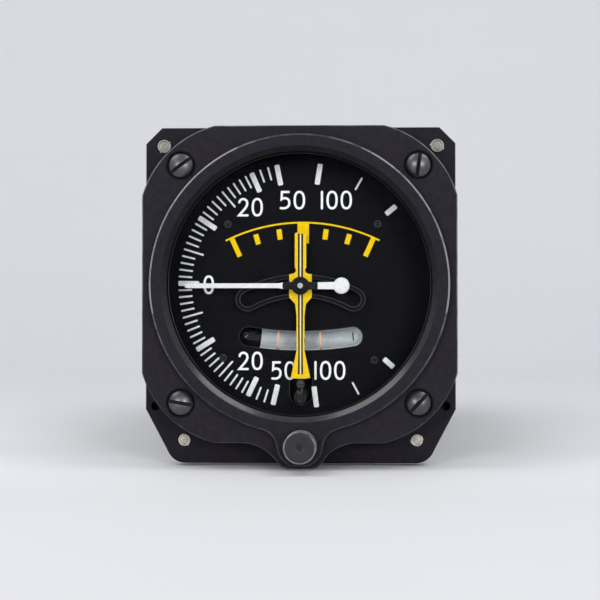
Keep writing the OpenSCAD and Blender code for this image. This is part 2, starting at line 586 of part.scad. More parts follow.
// static pressure nipple, with a hose barb
module static_nipple() color(c_brass) difference() {
  union() {
    yc(3, case_len + 1, case_len + 3.4, 22, -20);
    yc(4.6, case_len + 3.4, case_len + 6.4, 22, -20, 6);
    yc(3, case_len + 6.4, case_len + 17, 22, -20);
  }
  yc(1.3, case_len, case_len + 18, 22, -20);
}
module zero_knob() color(c_dark) difference() {
  union() {
    yc(knob_r, -knob_y + 0.4, -bezel_ring_y + 1, knob_x, knob_z);
    ycone(knob_r - 0.4, knob_r, -knob_y, -knob_y + 0.4, knob_x, knob_z);
  }
  yc(1.5, -knob_y + 4, -bezel_ring_y + 2, knob_x, knob_z);
  ycone(0.9, 0.2, -knob_y - 0.01, -knob_y + 0.5, knob_x, knob_z);
}
module knob_shaft() color(c_steel) {
  yc(1.5, -knob_y + 4, -4.6, knob_x, knob_z, 32);
  yc(2.4, -7.2, -6.2, knob_x, knob_z, 32);
  ye(-4.6, -1.7) translate([knob_x, knob_z]) gear2d(0.4, 10, 18, 0.22, 0.4, 0.06, 10);
}
module knob_seal() color([0.04, 0.04, 0.04]) yring(2.55, 1.6, -bezel_ring_y + 1.6, -bezel_ring_y + 3.1, knob_x, knob_z);
// rack that carries the knob's turning into the case
module zero_rack() color(c_steel) {
  p = PI * 0.4; x0 = knob_x + 2;
  h = p / 4 - 0.05; t = tan(20);
  ye(-4.3, -1.9) polygon(concat([[x0 + 2.15, -47], [x0 + 0.4, -47]],
    [for (k = [-2:2]) let (z = knob_z + k * p) each [[x0 + 0.4, z - h - 0.4 * t], [x0 - 0.22, z - h + 0.22 * t],
      [x0 - 0.22, z + h - 0.22 * t], [x0 + 0.4, z + h + 0.4 * t]]],
    [[x0 + 0.4, -37.1], [x0 + 2.15, -37.1]]));
}

mounting_flange();
flange_bushes();
case_tube();
bezel();
bezel_gasket();
bezel_screws();
glass();
glass_gasket();
retaining_ring();
dial();
dial_posts();
dial_screws();
slip_tube();
slip_backing();
index_wires();
slip_ball();
climb_pointer();
climb_shaft();
front_plate();
middle_plate();
movement_pillars();
pivot_bushes();
sector_gear();
rocking_arbor();
hairspring();
capsule();
capsule_bracket();
capsule_stem();
capillary_leak();
static_pipe();
turn_pointer();
turn_staff();
turn_fork();
bulkhead();
spring_post();
rear_plate();
tie_rods();
gimbal_bearings();
gimbal_frame();
gimbal_pivots();
rotor_bearings();
motor_stator();
gyro_rotor();
rotor_axle();
centring_spring();
damper_cylinder();
damper_piston();
rear_cover();
rear_cover_screws();
rear_seal();
connector_shell();
connector_insert();
connector_pins();
static_nipple();
zero_knob();
knob_shaft();
knob_seal();
zero_rack();
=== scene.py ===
import math

import bmesh
import bpy
from mathutils import Matrix, Vector


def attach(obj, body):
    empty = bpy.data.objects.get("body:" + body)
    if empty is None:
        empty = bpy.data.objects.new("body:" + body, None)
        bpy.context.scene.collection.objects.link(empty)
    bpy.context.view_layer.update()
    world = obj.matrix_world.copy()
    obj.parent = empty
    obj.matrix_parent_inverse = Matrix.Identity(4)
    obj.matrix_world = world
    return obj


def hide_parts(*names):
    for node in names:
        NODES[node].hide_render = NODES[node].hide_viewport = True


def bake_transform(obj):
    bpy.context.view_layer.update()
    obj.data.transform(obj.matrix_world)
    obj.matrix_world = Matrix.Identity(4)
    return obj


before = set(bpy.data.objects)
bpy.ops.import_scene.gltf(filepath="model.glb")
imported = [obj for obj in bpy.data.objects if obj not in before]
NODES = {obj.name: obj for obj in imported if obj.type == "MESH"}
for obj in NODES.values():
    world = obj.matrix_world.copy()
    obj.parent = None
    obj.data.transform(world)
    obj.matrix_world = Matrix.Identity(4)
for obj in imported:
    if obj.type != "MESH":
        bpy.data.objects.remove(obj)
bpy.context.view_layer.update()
scene = bpy.context.scene
scene.view_settings.view_transform = "Standard"
scene.view_settings.look = "None"

# ---------------------------------------------------------------- camera
cam_data = bpy.data.cameras.new("camera")
cam_data.sensor_width = 36.0
cam_data.lens = 36.0 * 2102.5 / 600.0
cam_data.clip_start = 0.01
cam_data.clip_end = 30.0
cam = bpy.data.objects.new("camera", cam_data)
scene.collection.objects.link(cam)
cam.location = (0.021552, -0.588, -0.0157)
cam.rotation_euler = (math.radians(90 + 1.127), 0.0, math.radians(2.129))
scene.camera = cam

# ---------------------------------------------------------------- materials
MATS = {}


def tree(name):
    m = bpy.data.materials.new("look_" + name)
    m.use_nodes = True
    nt = m.node_tree
    nt.nodes.clear()
    out = nt.nodes.new("ShaderNodeOutputMaterial")
    MATS[name] = m
    MATS[m.name] = m
    return m, nt, out


def coords(nt, scale=(1, 1, 1), shift=(0, 0, 0)):
    tc = nt.nodes.new("ShaderNodeTexCoord")
    mp = nt.nodes.new("ShaderNodeMapping")
    mp.inputs["Location"].default_value = shift
    mp.inputs["Scale"].default_value = scale
    nt.links.new(tc.outputs["Object"], mp.inputs["Vector"])
    return mp.outputs["Vector"]


def noise(nt, vec, scale, detail=3.0, rough=0.55):
    n = nt.nodes.new("ShaderNodeTexNoise")
    n.inputs["Scale"].default_value = scale
    n.inputs["Detail"].default_value = detail
    n.inputs["Roughness"].default_value = rough
    nt.links.new(vec, n.inputs["Vector"])
    return n.outputs["Fac"]


def ramp(nt, fac, stops):
    r = nt.nodes.new("ShaderNodeValToRGB")
    el = r.color_ramp.elements
    while len(el) < len(stops):
        el.new(0.5)
    for e, (p, c) in zip(el, stops):
        e.position = p
        e.color = (c[0], c[1], c[2], 1) if hasattr(c, "__len__") else (c, c, c, 1)
    nt.links.new(fac, r.inputs["Fac"])
    return r.outputs["Color"]


def spread(nt, fac, lo, hi, a=0.3, b=0.7):
    m = nt.nodes.new("ShaderNodeMapRange")
    m.inputs["From Min"].default_value = a
    m.inputs["From Max"].default_value = b
    m.inputs["To Min"].default_value = lo
    m.inputs["To Max"].default_value = hi
    nt.links.new(fac, m.inputs["Value"])
    return m.outputs["Result"]


def mixc(nt, fac, a, b, kind="MIX"):
    m = nt.nodes.new("ShaderNodeMix")
    m.data_type = "RGBA"
    m.blend_type = kind
    if hasattr(fac, "name"):
        nt.links.new(fac, m.inputs[0])
    else:
        m.inputs[0].default_value = fac
    for sock, v in ((m.inputs[6], a), (m.inputs[7], b)):
        if hasattr(v, "name"):
            nt.links.new(v, sock)
        else:
            sock.default_value = (v[0], v[1], v[2], 1)
    return m.outputs[2]


def bumps(nt, height, strength, distance, after=None):
    b = nt.nodes.new("ShaderNodeBump")
    b.inputs["Strength"].default_value = strength
    b.inputs["Distance"].default_value = distance
    nt.links.new(height, b.inputs["Height"])
    if after is not None:
        nt.links.new(after, b.inputs["Normal"])
    return b.outputs["Normal"]


def rings(nt, axis, scale, shift=(0, 0, 0), distortion=0.4):
    w = nt.nodes.new("ShaderNodeTexWave")
    w.wave_type = "RINGS"
    w.rings_direction = axis
    w.inputs["Scale"].default_value = scale
    w.inputs["Distortion"].default_value = distortion
    w.inputs["Detail"].default_value = 2.0
    nt.links.new(coords(nt, shift=shift), w.inputs["Vector"])
    return w.outputs["Fac"]


def surface(name, dark, light, rough=(0.4, 0.6), metal=0.0, spec=0.5, scale=900.0, fine=3500.0,
            bump=0.25, depth=2e-5, turned=None, specks=None, streak=None, coat=0.0):
    """One painted or metal surface: two tones mixed by noise, uneven roughness, and a fine bump."""
    m, nt, out = tree(name)
    p = nt.nodes.new("ShaderNodeBsdfPrincipled")
    nt.links.new(p.outputs[0], out.inputs["Surface"])
    p.inputs["Metallic"].default_value = metal
    p.inputs["Specular IOR Level"].default_value = spec
    p.inputs["Coat Weight"].default_value = coat
    vec = coords(nt, scale=streak or (1, 1, 1))
    big = noise(nt, vec, scale)
    small = noise(nt, coords(nt), fine, 2.0, 0.6)
    col = ramp(nt, big, [(0.3, dark), (0.7, light)])
    grain = ramp(nt, small, [(0.25, 0.82), (0.75, 1.12)])
    col = mixc(nt, 1.0, col, grain, "MULTIPLY")
    if specks:
        v = nt.nodes.new("ShaderNodeTexVoronoi")
        v.inputs["Scale"].default_value = specks[0]
        nt.links.new(coords(nt), v.inputs["Vector"])
        col = mixc(nt, ramp(nt, v.outputs["Distance"], [(0.0, 1.0), (specks[1], 0.0)]), col, specks[2])
    nt.links.new(col, p.inputs["Base Color"])
    nt.links.new(spread(nt, big, rough[0], rough[1]), p.inputs["Roughness"])
    h = small
    if turned:
        axis, rs, shift = turned
        rg = rings(nt, axis, rs, shift)
        h = mixc(nt, 0.35, ramp(nt, rg, [(0.0, 0.0), (1.0, 1.0)]), small)
    nt.links.new(bumps(nt, h, bump, depth), p.inputs["Normal"])
    return m


surface("black_paint", (0.0080, 0.0064, 0.0104), (0.0156, 0.0134, 0.0190), (0.52, 0.68), spec=0.10,
        scale=520, fine=2400, bump=0.45, depth=3e-5, specks=(260, 0.03, (0.04, 0.04, 0.042)))
surface("black_flange", (0.0070, 0.0054, 0.0094), (0.0126, 0.0106, 0.0158), (0.54, 0.68), spec=0.09,
        scale=520, fine=2400, bump=0.45, depth=3e-5, specks=(240, 0.03, (0.04, 0.04, 0.042)))
surface("black_case", (0.0130, 0.0125, 0.0140), (0.0200, 0.0190, 0.0214), (0.47, 0.55), spec=0.4,
        scale=380, fine=2200, bump=0.4, depth=3e-5, specks=(200, 0.03, (0.06, 0.06, 0.06)))
# painted shade: a black darker than the outer paint, for recessed and inner faces and the flange's lower bevel
surface("black_inner_painted_shade", (0.0022, 0.0022, 0.0030), (0.0040, 0.0040, 0.0052), (0.6, 0.8), spec=0.05, scale=500, bump=0.2)
surface("plate_black", (0.0050, 0.0052, 0.0066), (0.0078, 0.0080, 0.0100), (0.6, 0.8), spec=0.05, scale=500, bump=0.2)
surface("edge_line", (0.020, 0.022, 0.024), (0.032, 0.034, 0.037), (0.5, 0.65), spec=0.2, scale=900, bump=0.2)
surface("bronze_dark", (0.010, 0.008, 0.006), (0.018, 0.014, 0.010), (0.5, 0.6), metal=0.3, spec=0.2, scale=600, bump=0.2)
surface("slot_black", (0.004, 0.004, 0.004), (0.009, 0.009, 0.009), (0.5, 0.7), spec=0.15, scale=900, bump=0.3)
surface("dial_paint", (0.0046, 0.0046, 0.0060), (0.0066, 0.0066, 0.0086), (0.62, 0.8), spec=0.04,
        scale=700, fine=4200, bump=0.2, depth=1e-5)
surface("lume", (0.66, 0.675, 0.675), (0.80, 0.815, 0.815), (0.6, 0.8), spec=0.2, scale=1500, fine=5200,
        bump=0.6, depth=2e-5)
surface("print_white", (0.82, 0.83, 0.84), (0.90, 0.91, 0.92), (0.5, 0.65), spec=0.3, scale=1600, fine=5000,
        bump=0.3, depth=1e-5)
surface("print_yellow", (0.78, 0.50, 0.004), (0.90, 0.61, 0.010), (0.6, 0.75), spec=0.03, scale=1300, fine=5000,
        bump=0.3, depth=1e-5)
surface("pointer_white", (0.61, 0.62, 0.64), (0.71, 0.72, 0.74), (0.4, 0.55), spec=0.3, scale=1200, fine=4200,
        bump=0.25, depth=1e-5)
surface("pointer_yellow", (0.70, 0.46, 0.006), (0.86, 0.59, 0.016), (0.45, 0.6), spec=0.08, scale=1100, fine=4200,
        bump=0.25, depth=1e-5)
surface("pointer_cream", (0.70, 0.62, 0.40), (0.82, 0.74, 0.52), (0.4, 0.55), spec=0.2, scale=1200, fine=4200,
        bump=0.25, depth=1e-5)
surface("pointer_black", (0.0045, 0.0040, 0.0050), (0.0085, 0.0078, 0.0095), (0.5, 0.62), spec=0.10, scale=900,
        fine=3600, bump=0.25, depth=1e-5)
surface("loop_edge_painted_highlight", (0.040, 0.040, 0.044), (0.070, 0.070, 0.076), (0.4, 0.5), spec=0.4, scale=900, fine=3600,
        bump=0.25, depth=1e-5)
surface("loop_black", (0.0035, 0.0035, 0.0045), (0.0060, 0.0060, 0.0075), (0.5, 0.65), spec=0.06, scale=900,
        fine=3600, bump=0.25, depth=1e-5)
surface("screw_dark", (0.075, 0.075, 0.080), (0.115, 0.115, 0.122), (0.30, 0.38), metal=0.92, scale=260, fine=2600,
        bump=0.3, depth=1.6e-5)
surface("screw_grey", (0.030, 0.030, 0.034), (0.052, 0.052, 0.056), (0.45, 0.55), spec=0.2, scale=700, fine=2600, bump=0.3,
        depth=1.5e-5)
surface("screw_black", (0.0035, 0.0035, 0.0042), (0.0075, 0.0075, 0.0088), (0.42, 0.55), spec=0.15, scale=1400, bump=0.3)
surface("screw_rim_painted_highlight", (0.016, 0.016, 0.019), (0.030, 0.030, 0.034), (0.35, 0.5), spec=0.4, scale=1400, bump=0.3)
# painted shade and light: one bush metal, darker for the upper bushes and lighter for the lower ones
for k, v in (("bush_top_painted_shade", 0.69), ("bush_low_painted_light", 1.24)):
    surface(k, (0.19 * v, 0.185 * v, 0.155 * v), (0.31 * v, 0.305 * v, 0.265 * v), (0.34, 0.5), metal=0.75, scale=800,
            fine=2600, bump=0.4, depth=2e-5)
surface("knob_face", (0.0112, 0.0102, 0.0128), (0.0172, 0.0159, 0.0192), (0.40, 0.52), spec=0.22, scale=700,
        fine=3000, bump=0.5, depth=1.4e-5, turned=("Y", 1500, (-0.0005, 0, 0.0442)))
surface("knob_side", (0.15, 0.15, 0.133), (0.27, 0.27, 0.242), (0.34, 0.46), metal=0.2, spec=0.5, scale=500,
        bump=0.4, depth=2e-5)
surface("rubber", (0.006, 0.006, 0.006), (0.014, 0.014, 0.014), (0.7, 0.85), spec=0.3, scale=1300, bump=0.4)
surface("brass", (0.42, 0.29, 0.10), (0.62, 0.44, 0.18), (0.3, 0.45), metal=1.0, scale=300, fine=2600, bump=0.3,
        turned=("Y", 900, (0, 0, 0)))
surface("steel", (0.28, 0.28, 0.29), (0.42, 0.42, 0.43), (0.28, 0.42), metal=1.0, scale=500, bump=0.25)
surface("spring_blue", (0.05, 0.06, 0.10), (0.10, 0.12, 0.20), (0.25, 0.35), metal=1.0, scale=700, bump=0.2)
surface("bronze", (0.30, 0.17, 0.08), (0.46, 0.28, 0.13), (0.35, 0.5), metal=1.0, scale=600, bump=0.3)
surface("capsule_metal", (0.44, 0.36, 0.22), (0.62, 0.52, 0.34), (0.28, 0.4), metal=1.0, scale=400, bump=0.2,
        turned=("Z", 700, (-0.0142, -0.031, 0)))
surface("aluminium", (0.40, 0.40, 0.41), (0.60, 0.60, 0.60), (0.35, 0.5), metal=1.0, scale=260, fine=2400, bump=0.35,
        streak=(1, 0.25, 1))
surface("copper", (0.42, 0.20, 0.11), (0.62, 0.32, 0.19), (0.3, 0.48), metal=1.0, scale=260, bump=0.3)
surface("stator", (0.10, 0.06, 0.035), (0.20, 0.13, 0.08), (0.5, 0.7), metal=0.2, scale=900, bump=0.6, depth=8e-5,
        turned=("X", 900, (0, -0.08, 0)))
surface("rotor_metal", (0.34, 0.25, 0.11), (0.50, 0.38, 0.19), (0.28, 0.4), metal=1.0, scale=350, bump=0.3,
        turned=("X", 700, (0, -0.08, 0)))
surface("connector_metal", (0.24, 0.24, 0.21), (0.40, 0.40, 0.35), (0.36, 0.52), metal=0.9, scale=420, bump=0.35)
surface("insulator", (0.045, 0.018, 0.010), (0.075, 0.032, 0.018), (0.35, 0.5), spec=0.5, scale=500, bump=0.3)
surface("pin_gold", (0.60, 0.42, 0.13), (0.78, 0.58, 0.22), (0.22, 0.34), metal=1.0, scale=700, bump=0.2)
surface("nipple_metal", (0.42, 0.37, 0.26), (0.58, 0.52, 0.38), (0.3, 0.45), metal=1.0, scale=420, bump=0.3)
surface("ball_black", (0.010, 0.010, 0.011), (0.02, 0.02, 0.022), (0.12, 0.2), metal=0.6, scale=900, bump=0.1)
# painted reflection: the backing's tone is stretched along the tube into faint lengthwise bands in place of the bore's
# reflections
surface("enamel_white_painted_bands", (0.40, 0.43, 0.45), (0.56, 0.59, 0.62), (0.4, 0.55), spec=0.3, scale=700, fine=2400,
        bump=0.3, depth=2e-5, streak=(0.05, 1, 1))
surface("wire_orange", (0.66, 0.34, 0.20), (0.80, 0.46, 0.28), (0.35, 0.5), spec=0.5, scale=900, bump=0.3)


def worn(name, paint, metal, share, rough=(0.3, 0.5), scale=180.0):
    """An edge where the paint has thinned and the grey metal shows through."""
    m, nt, out = tree(name)
    p = nt.nodes.new("ShaderNodeBsdfPrincipled")
    nt.links.new(p.outputs[0], out.inputs["Surface"])
    p.inputs["Metallic"].default_value = 0.25
    # painted shade: a copy whose name holds low also reflects less
    p.inputs["Specular IOR Level"].default_value = 0.35 if "low" not in name else 0.1
    a = noise(nt, coords(nt), scale, 4.0, 0.6)
    b = noise(nt, coords(nt), scale * 7, 3.0, 0.6)
    both = mixc(nt, 0.35, a, b)
    mask = ramp(nt, both, [(0.5 - share, 0.0), (0.72 - share, 1.0)])
    nt.links.new(mixc(nt, mask, paint, metal), p.inputs["Base Color"])
    nt.links.new(spread(nt, a, rough[0], rough[1]), p.inputs["Roughness"])
    nt.links.new(bumps(nt, b, 0.3, 2e-5), p.inputs["Normal"])
    return m


worn("edge_base", (0.030, 0.028, 0.032), (0.130, 0.127, 0.134), 0.16, rough=(0.22, 0.36))
worn("edge_ring", (0.045, 0.043, 0.048), (0.240, 0.235, 0.250), 0.20, rough=(0.2, 0.34))
# painted shade: the low, mid and dim edges are darker copies of the worn edge, used lower down and at the top centre
# of the bezel
worn("edge_low_painted_shade", (0.024, 0.023, 0.026), (0.060, 0.058, 0.062), 0.10, rough=(0.42, 0.55))
worn("edge_mid_painted_shade", (0.030, 0.028, 0.032), (0.105, 0.102, 0.108), 0.14, rough=(0.28, 0.42))
worn("edge_dim_painted_shade", (0.027, 0.026, 0.029), (0.078, 0.076, 0.080), 0.12, rough=(0.36, 0.5))
worn("edge_soft", (0.008, 0.008, 0.009), (0.022, 0.021, 0.024), 0.10, rough=(0.3, 0.45))
worn("knob_edge", (0.022, 0.021, 0.023), (0.185, 0.182, 0.190), 0.16, rough=(0.22, 0.36), scale=110)
# painted reflection: copies of the chamfer black whose reflection weakens from chamfer_0 to the last
CHAMFER = []
for k, sp in enumerate((0.54, 0.46, 0.38, 0.30, 0.22, 0.16, 0.12, 0.10)):
    CHAMFER.append(f"chamfer_{k}")
    surface(CHAMFER[-1], (0.0060, 0.0056, 0.0070), (0.0095, 0.0090, 0.0108), (0.19, 0.26), spec=sp, scale=420, fine=2600,
            bump=0.12, depth=8e-6)


def glassy(name, tint, face, rim, rough, gloss=1.0):
    """A clear wall: what is behind it shows, with a reflection that grows from face, seen square on, to rim at its edge."""
    m, nt, out = tree(name)
    mix = nt.nodes.new("ShaderNodeMixShader")
    tr = nt.nodes.new("ShaderNodeBsdfTransparent")
    gl = nt.nodes.new("ShaderNodeBsdfGlossy")
    lw = nt.nodes.new("ShaderNodeLayerWeight")
    lw.inputs["Blend"].default_value = 0.5
    tr.inputs["Color"].default_value = (*tint, 1)
    gl.inputs["Color"].default_value = (gloss, gloss, gloss, 1)
    smear = noise(nt, coords(nt), 60.0, 3.0)
    nt.links.new(spread(nt, smear, rough, rough + 0.05), gl.inputs["Roughness"])
    share = ramp(nt, lw.outputs["Facing"], [(0.0, face), (0.5, face * 1.6), (0.8, face + (rim - face) * 0.35), (1.0, rim)])
    nt.links.new(share, mix.inputs[0])
    nt.links.new(tr.outputs[0], mix.inputs[1])
    nt.links.new(gl.outputs[0], mix.inputs[2])
    nt.links.new(mix.outputs[0], out.inputs["Surface"])
    return m


glassy("window_glass", (0.992, 0.995, 0.992), 0.0002, 0.35, 0.0)
glassy("tube_glass", (0.985, 0.99, 0.99), 0.012, 0.30, 0.06)

# ---------------------------------------------------------------- mesh tools
MM = 0.001


def finish_mesh(name, bm, mats, smooth=True, angle=34):
    bmesh.ops.recalc_face_normals(bm, faces=bm.faces)
    me = bpy.data.meshes.new(name)
    bm.to_mesh(me)
    bm.free()
    for mt in mats:
        me.materials.append(MATS[mt])
    if smooth:
        me.shade_smooth()
        me.set_sharp_from_angle(angle=math.radians(angle))
    ob = bpy.data.objects.new(name, me)
    scene.collection.objects.link(ob)
    return ob


def loft(bm, rows, closed=True, mat_of=None, caps=False):
    """Rows of points of the same count, joined by quads round and along. Returns nothing."""
    vs = [[bm.verts.new(Vector(p) * MM) for p in row] for row in rows]
    n = len(rows[0])
    last = len(rows) if closed else len(rows) - 1
    for i in range(last):
        a, b = vs[i], vs[(i + 1) % len(rows)]
        for k in range(n):
            f = bm.faces.new((a[k], a[(k + 1) % n], b[(k + 1) % n], b[k]))
            if mat_of:
                f.material_index = mat_of[i]
    if caps:
        f = bm.faces.new(vs[0])
        f.material_index = mat_of[0] if mat_of else 0
        f = bm.faces.new(list(reversed(vs[-1])))
        f.material_index = mat_of[-1] if mat_of else 0


def circle_row(r, y, n, cx=0.0, cz=0.0, angles=None):
    an = angles or [2 * math.pi * k / n for k in range(n)]
    return [(cx + r * math.cos(a), y, cz + r * math.sin(a)) for a in an]


def lathe(name, profile, mats, n=96, cx=0.0, cz=0.0, mat_of=None, wobble=None, angle=34):
    """A turned form round an axis along Y. Profile points are (radius, y); radius 0 ends are closed to a point."""
    bm = bmesh.new()
    rings_ = []
    for r, y in profile:
        if r <= 1e-6:
            rings_.append([bm.verts.new(Vector((cx, y, cz)) * MM)])
        else:
            row = []
            for k in range(n):
                a = 2 * math.pi * k / n
                rr = r * (wobble(k, r, y) if wobble else 1.0)
                row.append(bm.verts.new(Vector((cx + rr * math.cos(a), y, cz + rr * math.sin(a))) * MM))
            rings_.append(row)
    closed = profile[0][0] > 1e-6 and profile[-1][0] > 1e-6
    for i in range(len(rings_) - (0 if closed else 1)):
        a, b = rings_[i], rings_[(i + 1) % len(rings_)]
        for k in range(n):
            k2 = (k + 1) % n
            if len(a) == 1 and len(b) == 1:
                continue
            if len(a) == 1:
                f = bm.faces.new((a[0], b[k2], b[k]))
            elif len(b) == 1:
                f = bm.faces.new((a[k], a[k2], b[0]))
            else:
                f = bm.faces.new((a[k], a[k2], b[k2], b[k]))
            if mat_of:
                f.material_index = mat_of[i]
    return finish_mesh(name, bm, mats, angle=angle)


def settle(name, ob, mats=None, angle=34, keep=False):
    """Applies what modifiers ob has, and cleans the mesh."""
    dg = bpy.context.evaluated_depsgraph_get()
    me = bpy.data.meshes.new_from_object(ob.evaluated_get(dg), depsgraph=dg)
    me.name = name
    mw = ob.matrix_world.copy()
    bpy.data.objects.remove(ob)
    me.transform(mw)
    bm = bmesh.new()
    bm.from_mesh(me)
    bmesh.ops.remove_doubles(bm, verts=bm.verts, dist=2e-7)
    bmesh.ops.dissolve_degenerate(bm, dist=1e-7, edges=bm.edges)
    loose = [v for v in bm.verts if not v.link_faces]
    bmesh.ops.delete(bm, geom=loose, context="VERTS")
    bmesh.ops.recalc_face_normals(bm, faces=bm.faces)
    bm.to_mesh(me)
    bm.free()
    if mats:
        me.materials.clear()
        for mt in mats:
            me.materials.append(MATS[mt])
    me.shade_smooth()
    me.set_sharp_from_angle(angle=math.radians(angle))
    out = bpy.data.objects.new(name, me)
    scene.collection.objects.link(out)
    return out


def cut(ob, cutter, name, angle=34):
    """ob less cutter; both are closed meshes, cut at a larger scale for accuracy. The cutter is removed."""
    ob.data.transform(Matrix.Scale(1000, 4))
    cutter.data.transform(Matrix.Scale(1000, 4))
    md = ob.modifiers.new("cut", "BOOLEAN")
    md.operation = "DIFFERENCE"
    md.solver = "EXACT"
    md.use_self = True
    md.material_mode = "TRANSFER"
    md.object = cutter
    bpy.context.view_layer.update()
    dg = bpy.context.evaluated_depsgraph_get()
    me = bpy.data.meshes.new_from_object(ob.evaluated_get(dg), depsgraph=dg)
    bpy.data.objects.remove(ob)
    bpy.data.objects.remove(cutter)
    me.name = name
    bm = bmesh.new()
    bm.from_mesh(me)
    bmesh.ops.remove_doubles(bm, verts=bm.verts, dist=1e-4)
    bmesh.ops.dissolve_degenerate(bm, dist=1e-5, edges=bm.edges)
    bmesh.ops.delete(bm, geom=[v for v in bm.verts if not v.link_faces], context="VERTS")
    bmesh.ops.scale(bm, vec=(0.001, 0.001, 0.001), verts=bm.verts)
    bm.to_mesh(me)
    bm.free()
    me.shade_smooth()
    me.set_sharp_from_angle(angle=math.radians(angle))
    res = bpy.data.objects.new(name, me)
    scene.collection.objects.link(res)
    return res


def join(name, obs, angle=34):
    """One object from several, each with its own materials."""
    bm = bmesh.new()
    names = []
    for o in obs:
        tmp = o.data.copy()
        tmp.transform(o.matrix_world)
        idx = []
        for mt in tmp.materials:
            if mt.name not in names:
                names.append(mt.name)
            idx.append(names.index(mt.name))
        first = len(bm.faces)
        bm.from_mesh(tmp)
        bm.faces.ensure_lookup_table()
        for f in bm.faces[first:]:
            f.material_index = idx[f.material_index] if idx else 0
        bpy.data.meshes.remove(tmp)
    for o in obs:
        bpy.data.objects.remove(o)
    me = bpy.data.meshes.new(name)
    bm.to_mesh(me)
    bm.free()
    for n in names:
        me.materials.append(MATS[n])
    me.shade_smooth()
    me.set_sharp_from_angle(angle=math.radians(angle))
    ob = bpy.data.objects.new(name, me)
    scene.collection.objects.link(ob)
    return ob


def plate(name, outlines, y0, y1, mats, bevel=0.05, segs=2, angle=34):
    """Flat shape in XZ with holes, from y0 (front) to y1 (back), with rounded edges all round."""
    cu = bpy.data.curves.new(name, "CURVE")
    cu.dimensions = "2D"
    cu.fill_mode = "BOTH"
    cu.extrude = ((y1 - y0) / 2 - bevel) * MM
    cu.bevel_depth = bevel * MM
    cu.bevel_resolution = segs
    cu.offset = -bevel * MM
    for pts in outlines:
        sp = cu.splines.new("POLY")
        sp.points.add(len(pts) - 1)
        for q, (x, z) in zip(sp.points, pts):
            q.co = (x * MM, z * MM, 0, 1)
        sp.use_cyclic_u = True
    ob = bpy.data.objects.new(name, cu)
    scene.collection.objects.link(ob)
    ob.matrix_world = Matrix.Translation((0, (y0 + y1) / 2 * MM, 0)) @ Matrix.Rotation(math.pi / 2, 4, "X")
    bpy.context.view_layer.update()
    return settle(name, ob, mats, angle=angle)


def arc(cx, cz, r, a0, a1, n):
    return [(cx + r * math.cos(math.radians(a0 + (a1 - a0) * i / n)),
             cz + r * math.sin(math.radians(a0 + (a1 - a0) * i / n))) for i in range(n + 1)]


def disc(cx, cz, r, n=64):
    return [(cx + r * math.cos(2 * math.pi * i / n), cz + r * math.sin(2 * math.pi * i / n)) for i in range(n)]


def stroke(path, w, closed=False, capn=6):
    """Outline, or two for a closed path, of a line of width w along path, with round ends."""
    n = len(path)
    h = w / 2
    left, right = [], []
    for i in range(n):
        p = Vector(path[i])
        if closed:
            a, b = Vector(path[i - 1]), Vector(path[(i + 1) % n])
        else:
            a, b = Vector(path[max(i - 1, 0)]), Vector(path[min(i + 1, n - 1)])
        d1 = (p - a).normalized() if (p - a).length > 1e-9 else (b - p).normalized()
        d2 = (b - p).normalized() if (b - p).length > 1e-9 else d1
        t = (d1 + d2).normalized()
        nrm = Vector((-t.y, t.x))
        k = h / max(0.45, nrm.dot(Vector((-d1.y, d1.x))))
        left.append(p + nrm * k)
        right.append(p - nrm * k)
    if closed:
        return [[tuple(v) for v in left], [tuple(v) for v in right]]
    out = [tuple(v) for v in left]
    end, ed = Vector(path[-1]), (Vector(path[-1]) - Vector(path[-2])).normalized()
    a0 = math.degrees(math.atan2(ed.y, ed.x)) + 90
    out += arc(end.x, end.y, h, a0 - 180 / capn, a0 - 180 + 180 / capn, capn - 2)
    out += [tuple(v) for v in reversed(right)]
    st, sd = Vector(path[0]), (Vector(path[0]) - Vector(path[1])).normalized()
    a0 = math.degrees(math.atan2(sd.y, sd.x)) + 90
    out += arc(st.x, st.y, h, a0 - 180 / capn, a0 - 180 + 180 / capn, capn - 2)
    return [out]


def place(ob, body, *nodes, slot=None):
    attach(ob, body)
    if nodes:
        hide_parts(*nodes)
    return ob


# ---------------------------------------------------------------- bezel and flange
FLANGE_HW, FLANGE_TOP, FLANGE_BOT = 43.0, 43.7, 49.4
BZ_HW, BZ_HH, BZ_CR, BZ_P, BOSS_BOT = 43.25, 43.55, 27.95, 16.44, 50.2
KX, KZ = 0.5, -44.2
SCREW_P = 32.6
BUSH = [(-37.95, 38.6, 1.92), (37.95, 38.6, 1.92), (-32.25, -43.1, 1.7), (32.25, -43.1, 1.7)]


def in_base(x, z):
    if z < -BOSS_BOT:
        return False
    if abs(x) <= BZ_HW and abs(z) <= BZ_HH:
        ax, az = abs(x) - BZ_P, abs(z) - BZ_P
        if ax <= 0 or az <= 0 or ax * ax + az * az <= BZ_CR * BZ_CR:
            return True
    if (x - 0.1) ** 2 + (z + 43.6) ** 2 <= 8.1 ** 2:
        return True
    if -16.1 <= x <= 16.0 and -48.4 <= z <= -39.4:
        return all((x - cx) ** 2 + (z + 55.55) ** 2 > 144 for cx in (-16.1, 16.0))
    return False


def in_ring(x, z):
    if z < -49.9:
        return False
    if x * x + z * z <= 41.13 ** 2 or (x - 0.15) ** 2 + (z + 43.8) ** 2 <= 6.45 ** 2:
        return True
    if -44.4 <= z <= -39.2:
        t = (-39.2 - z) / 5.2
        if -10.6 + 3.5 * t <= x <= 10.9 - 3.5 * t:
            return all((x - 0.15 - s * 11.55) ** 2 + (z + 44.9) ** 2 > 5.15 ** 2 for s in (-1, 1))
    return False


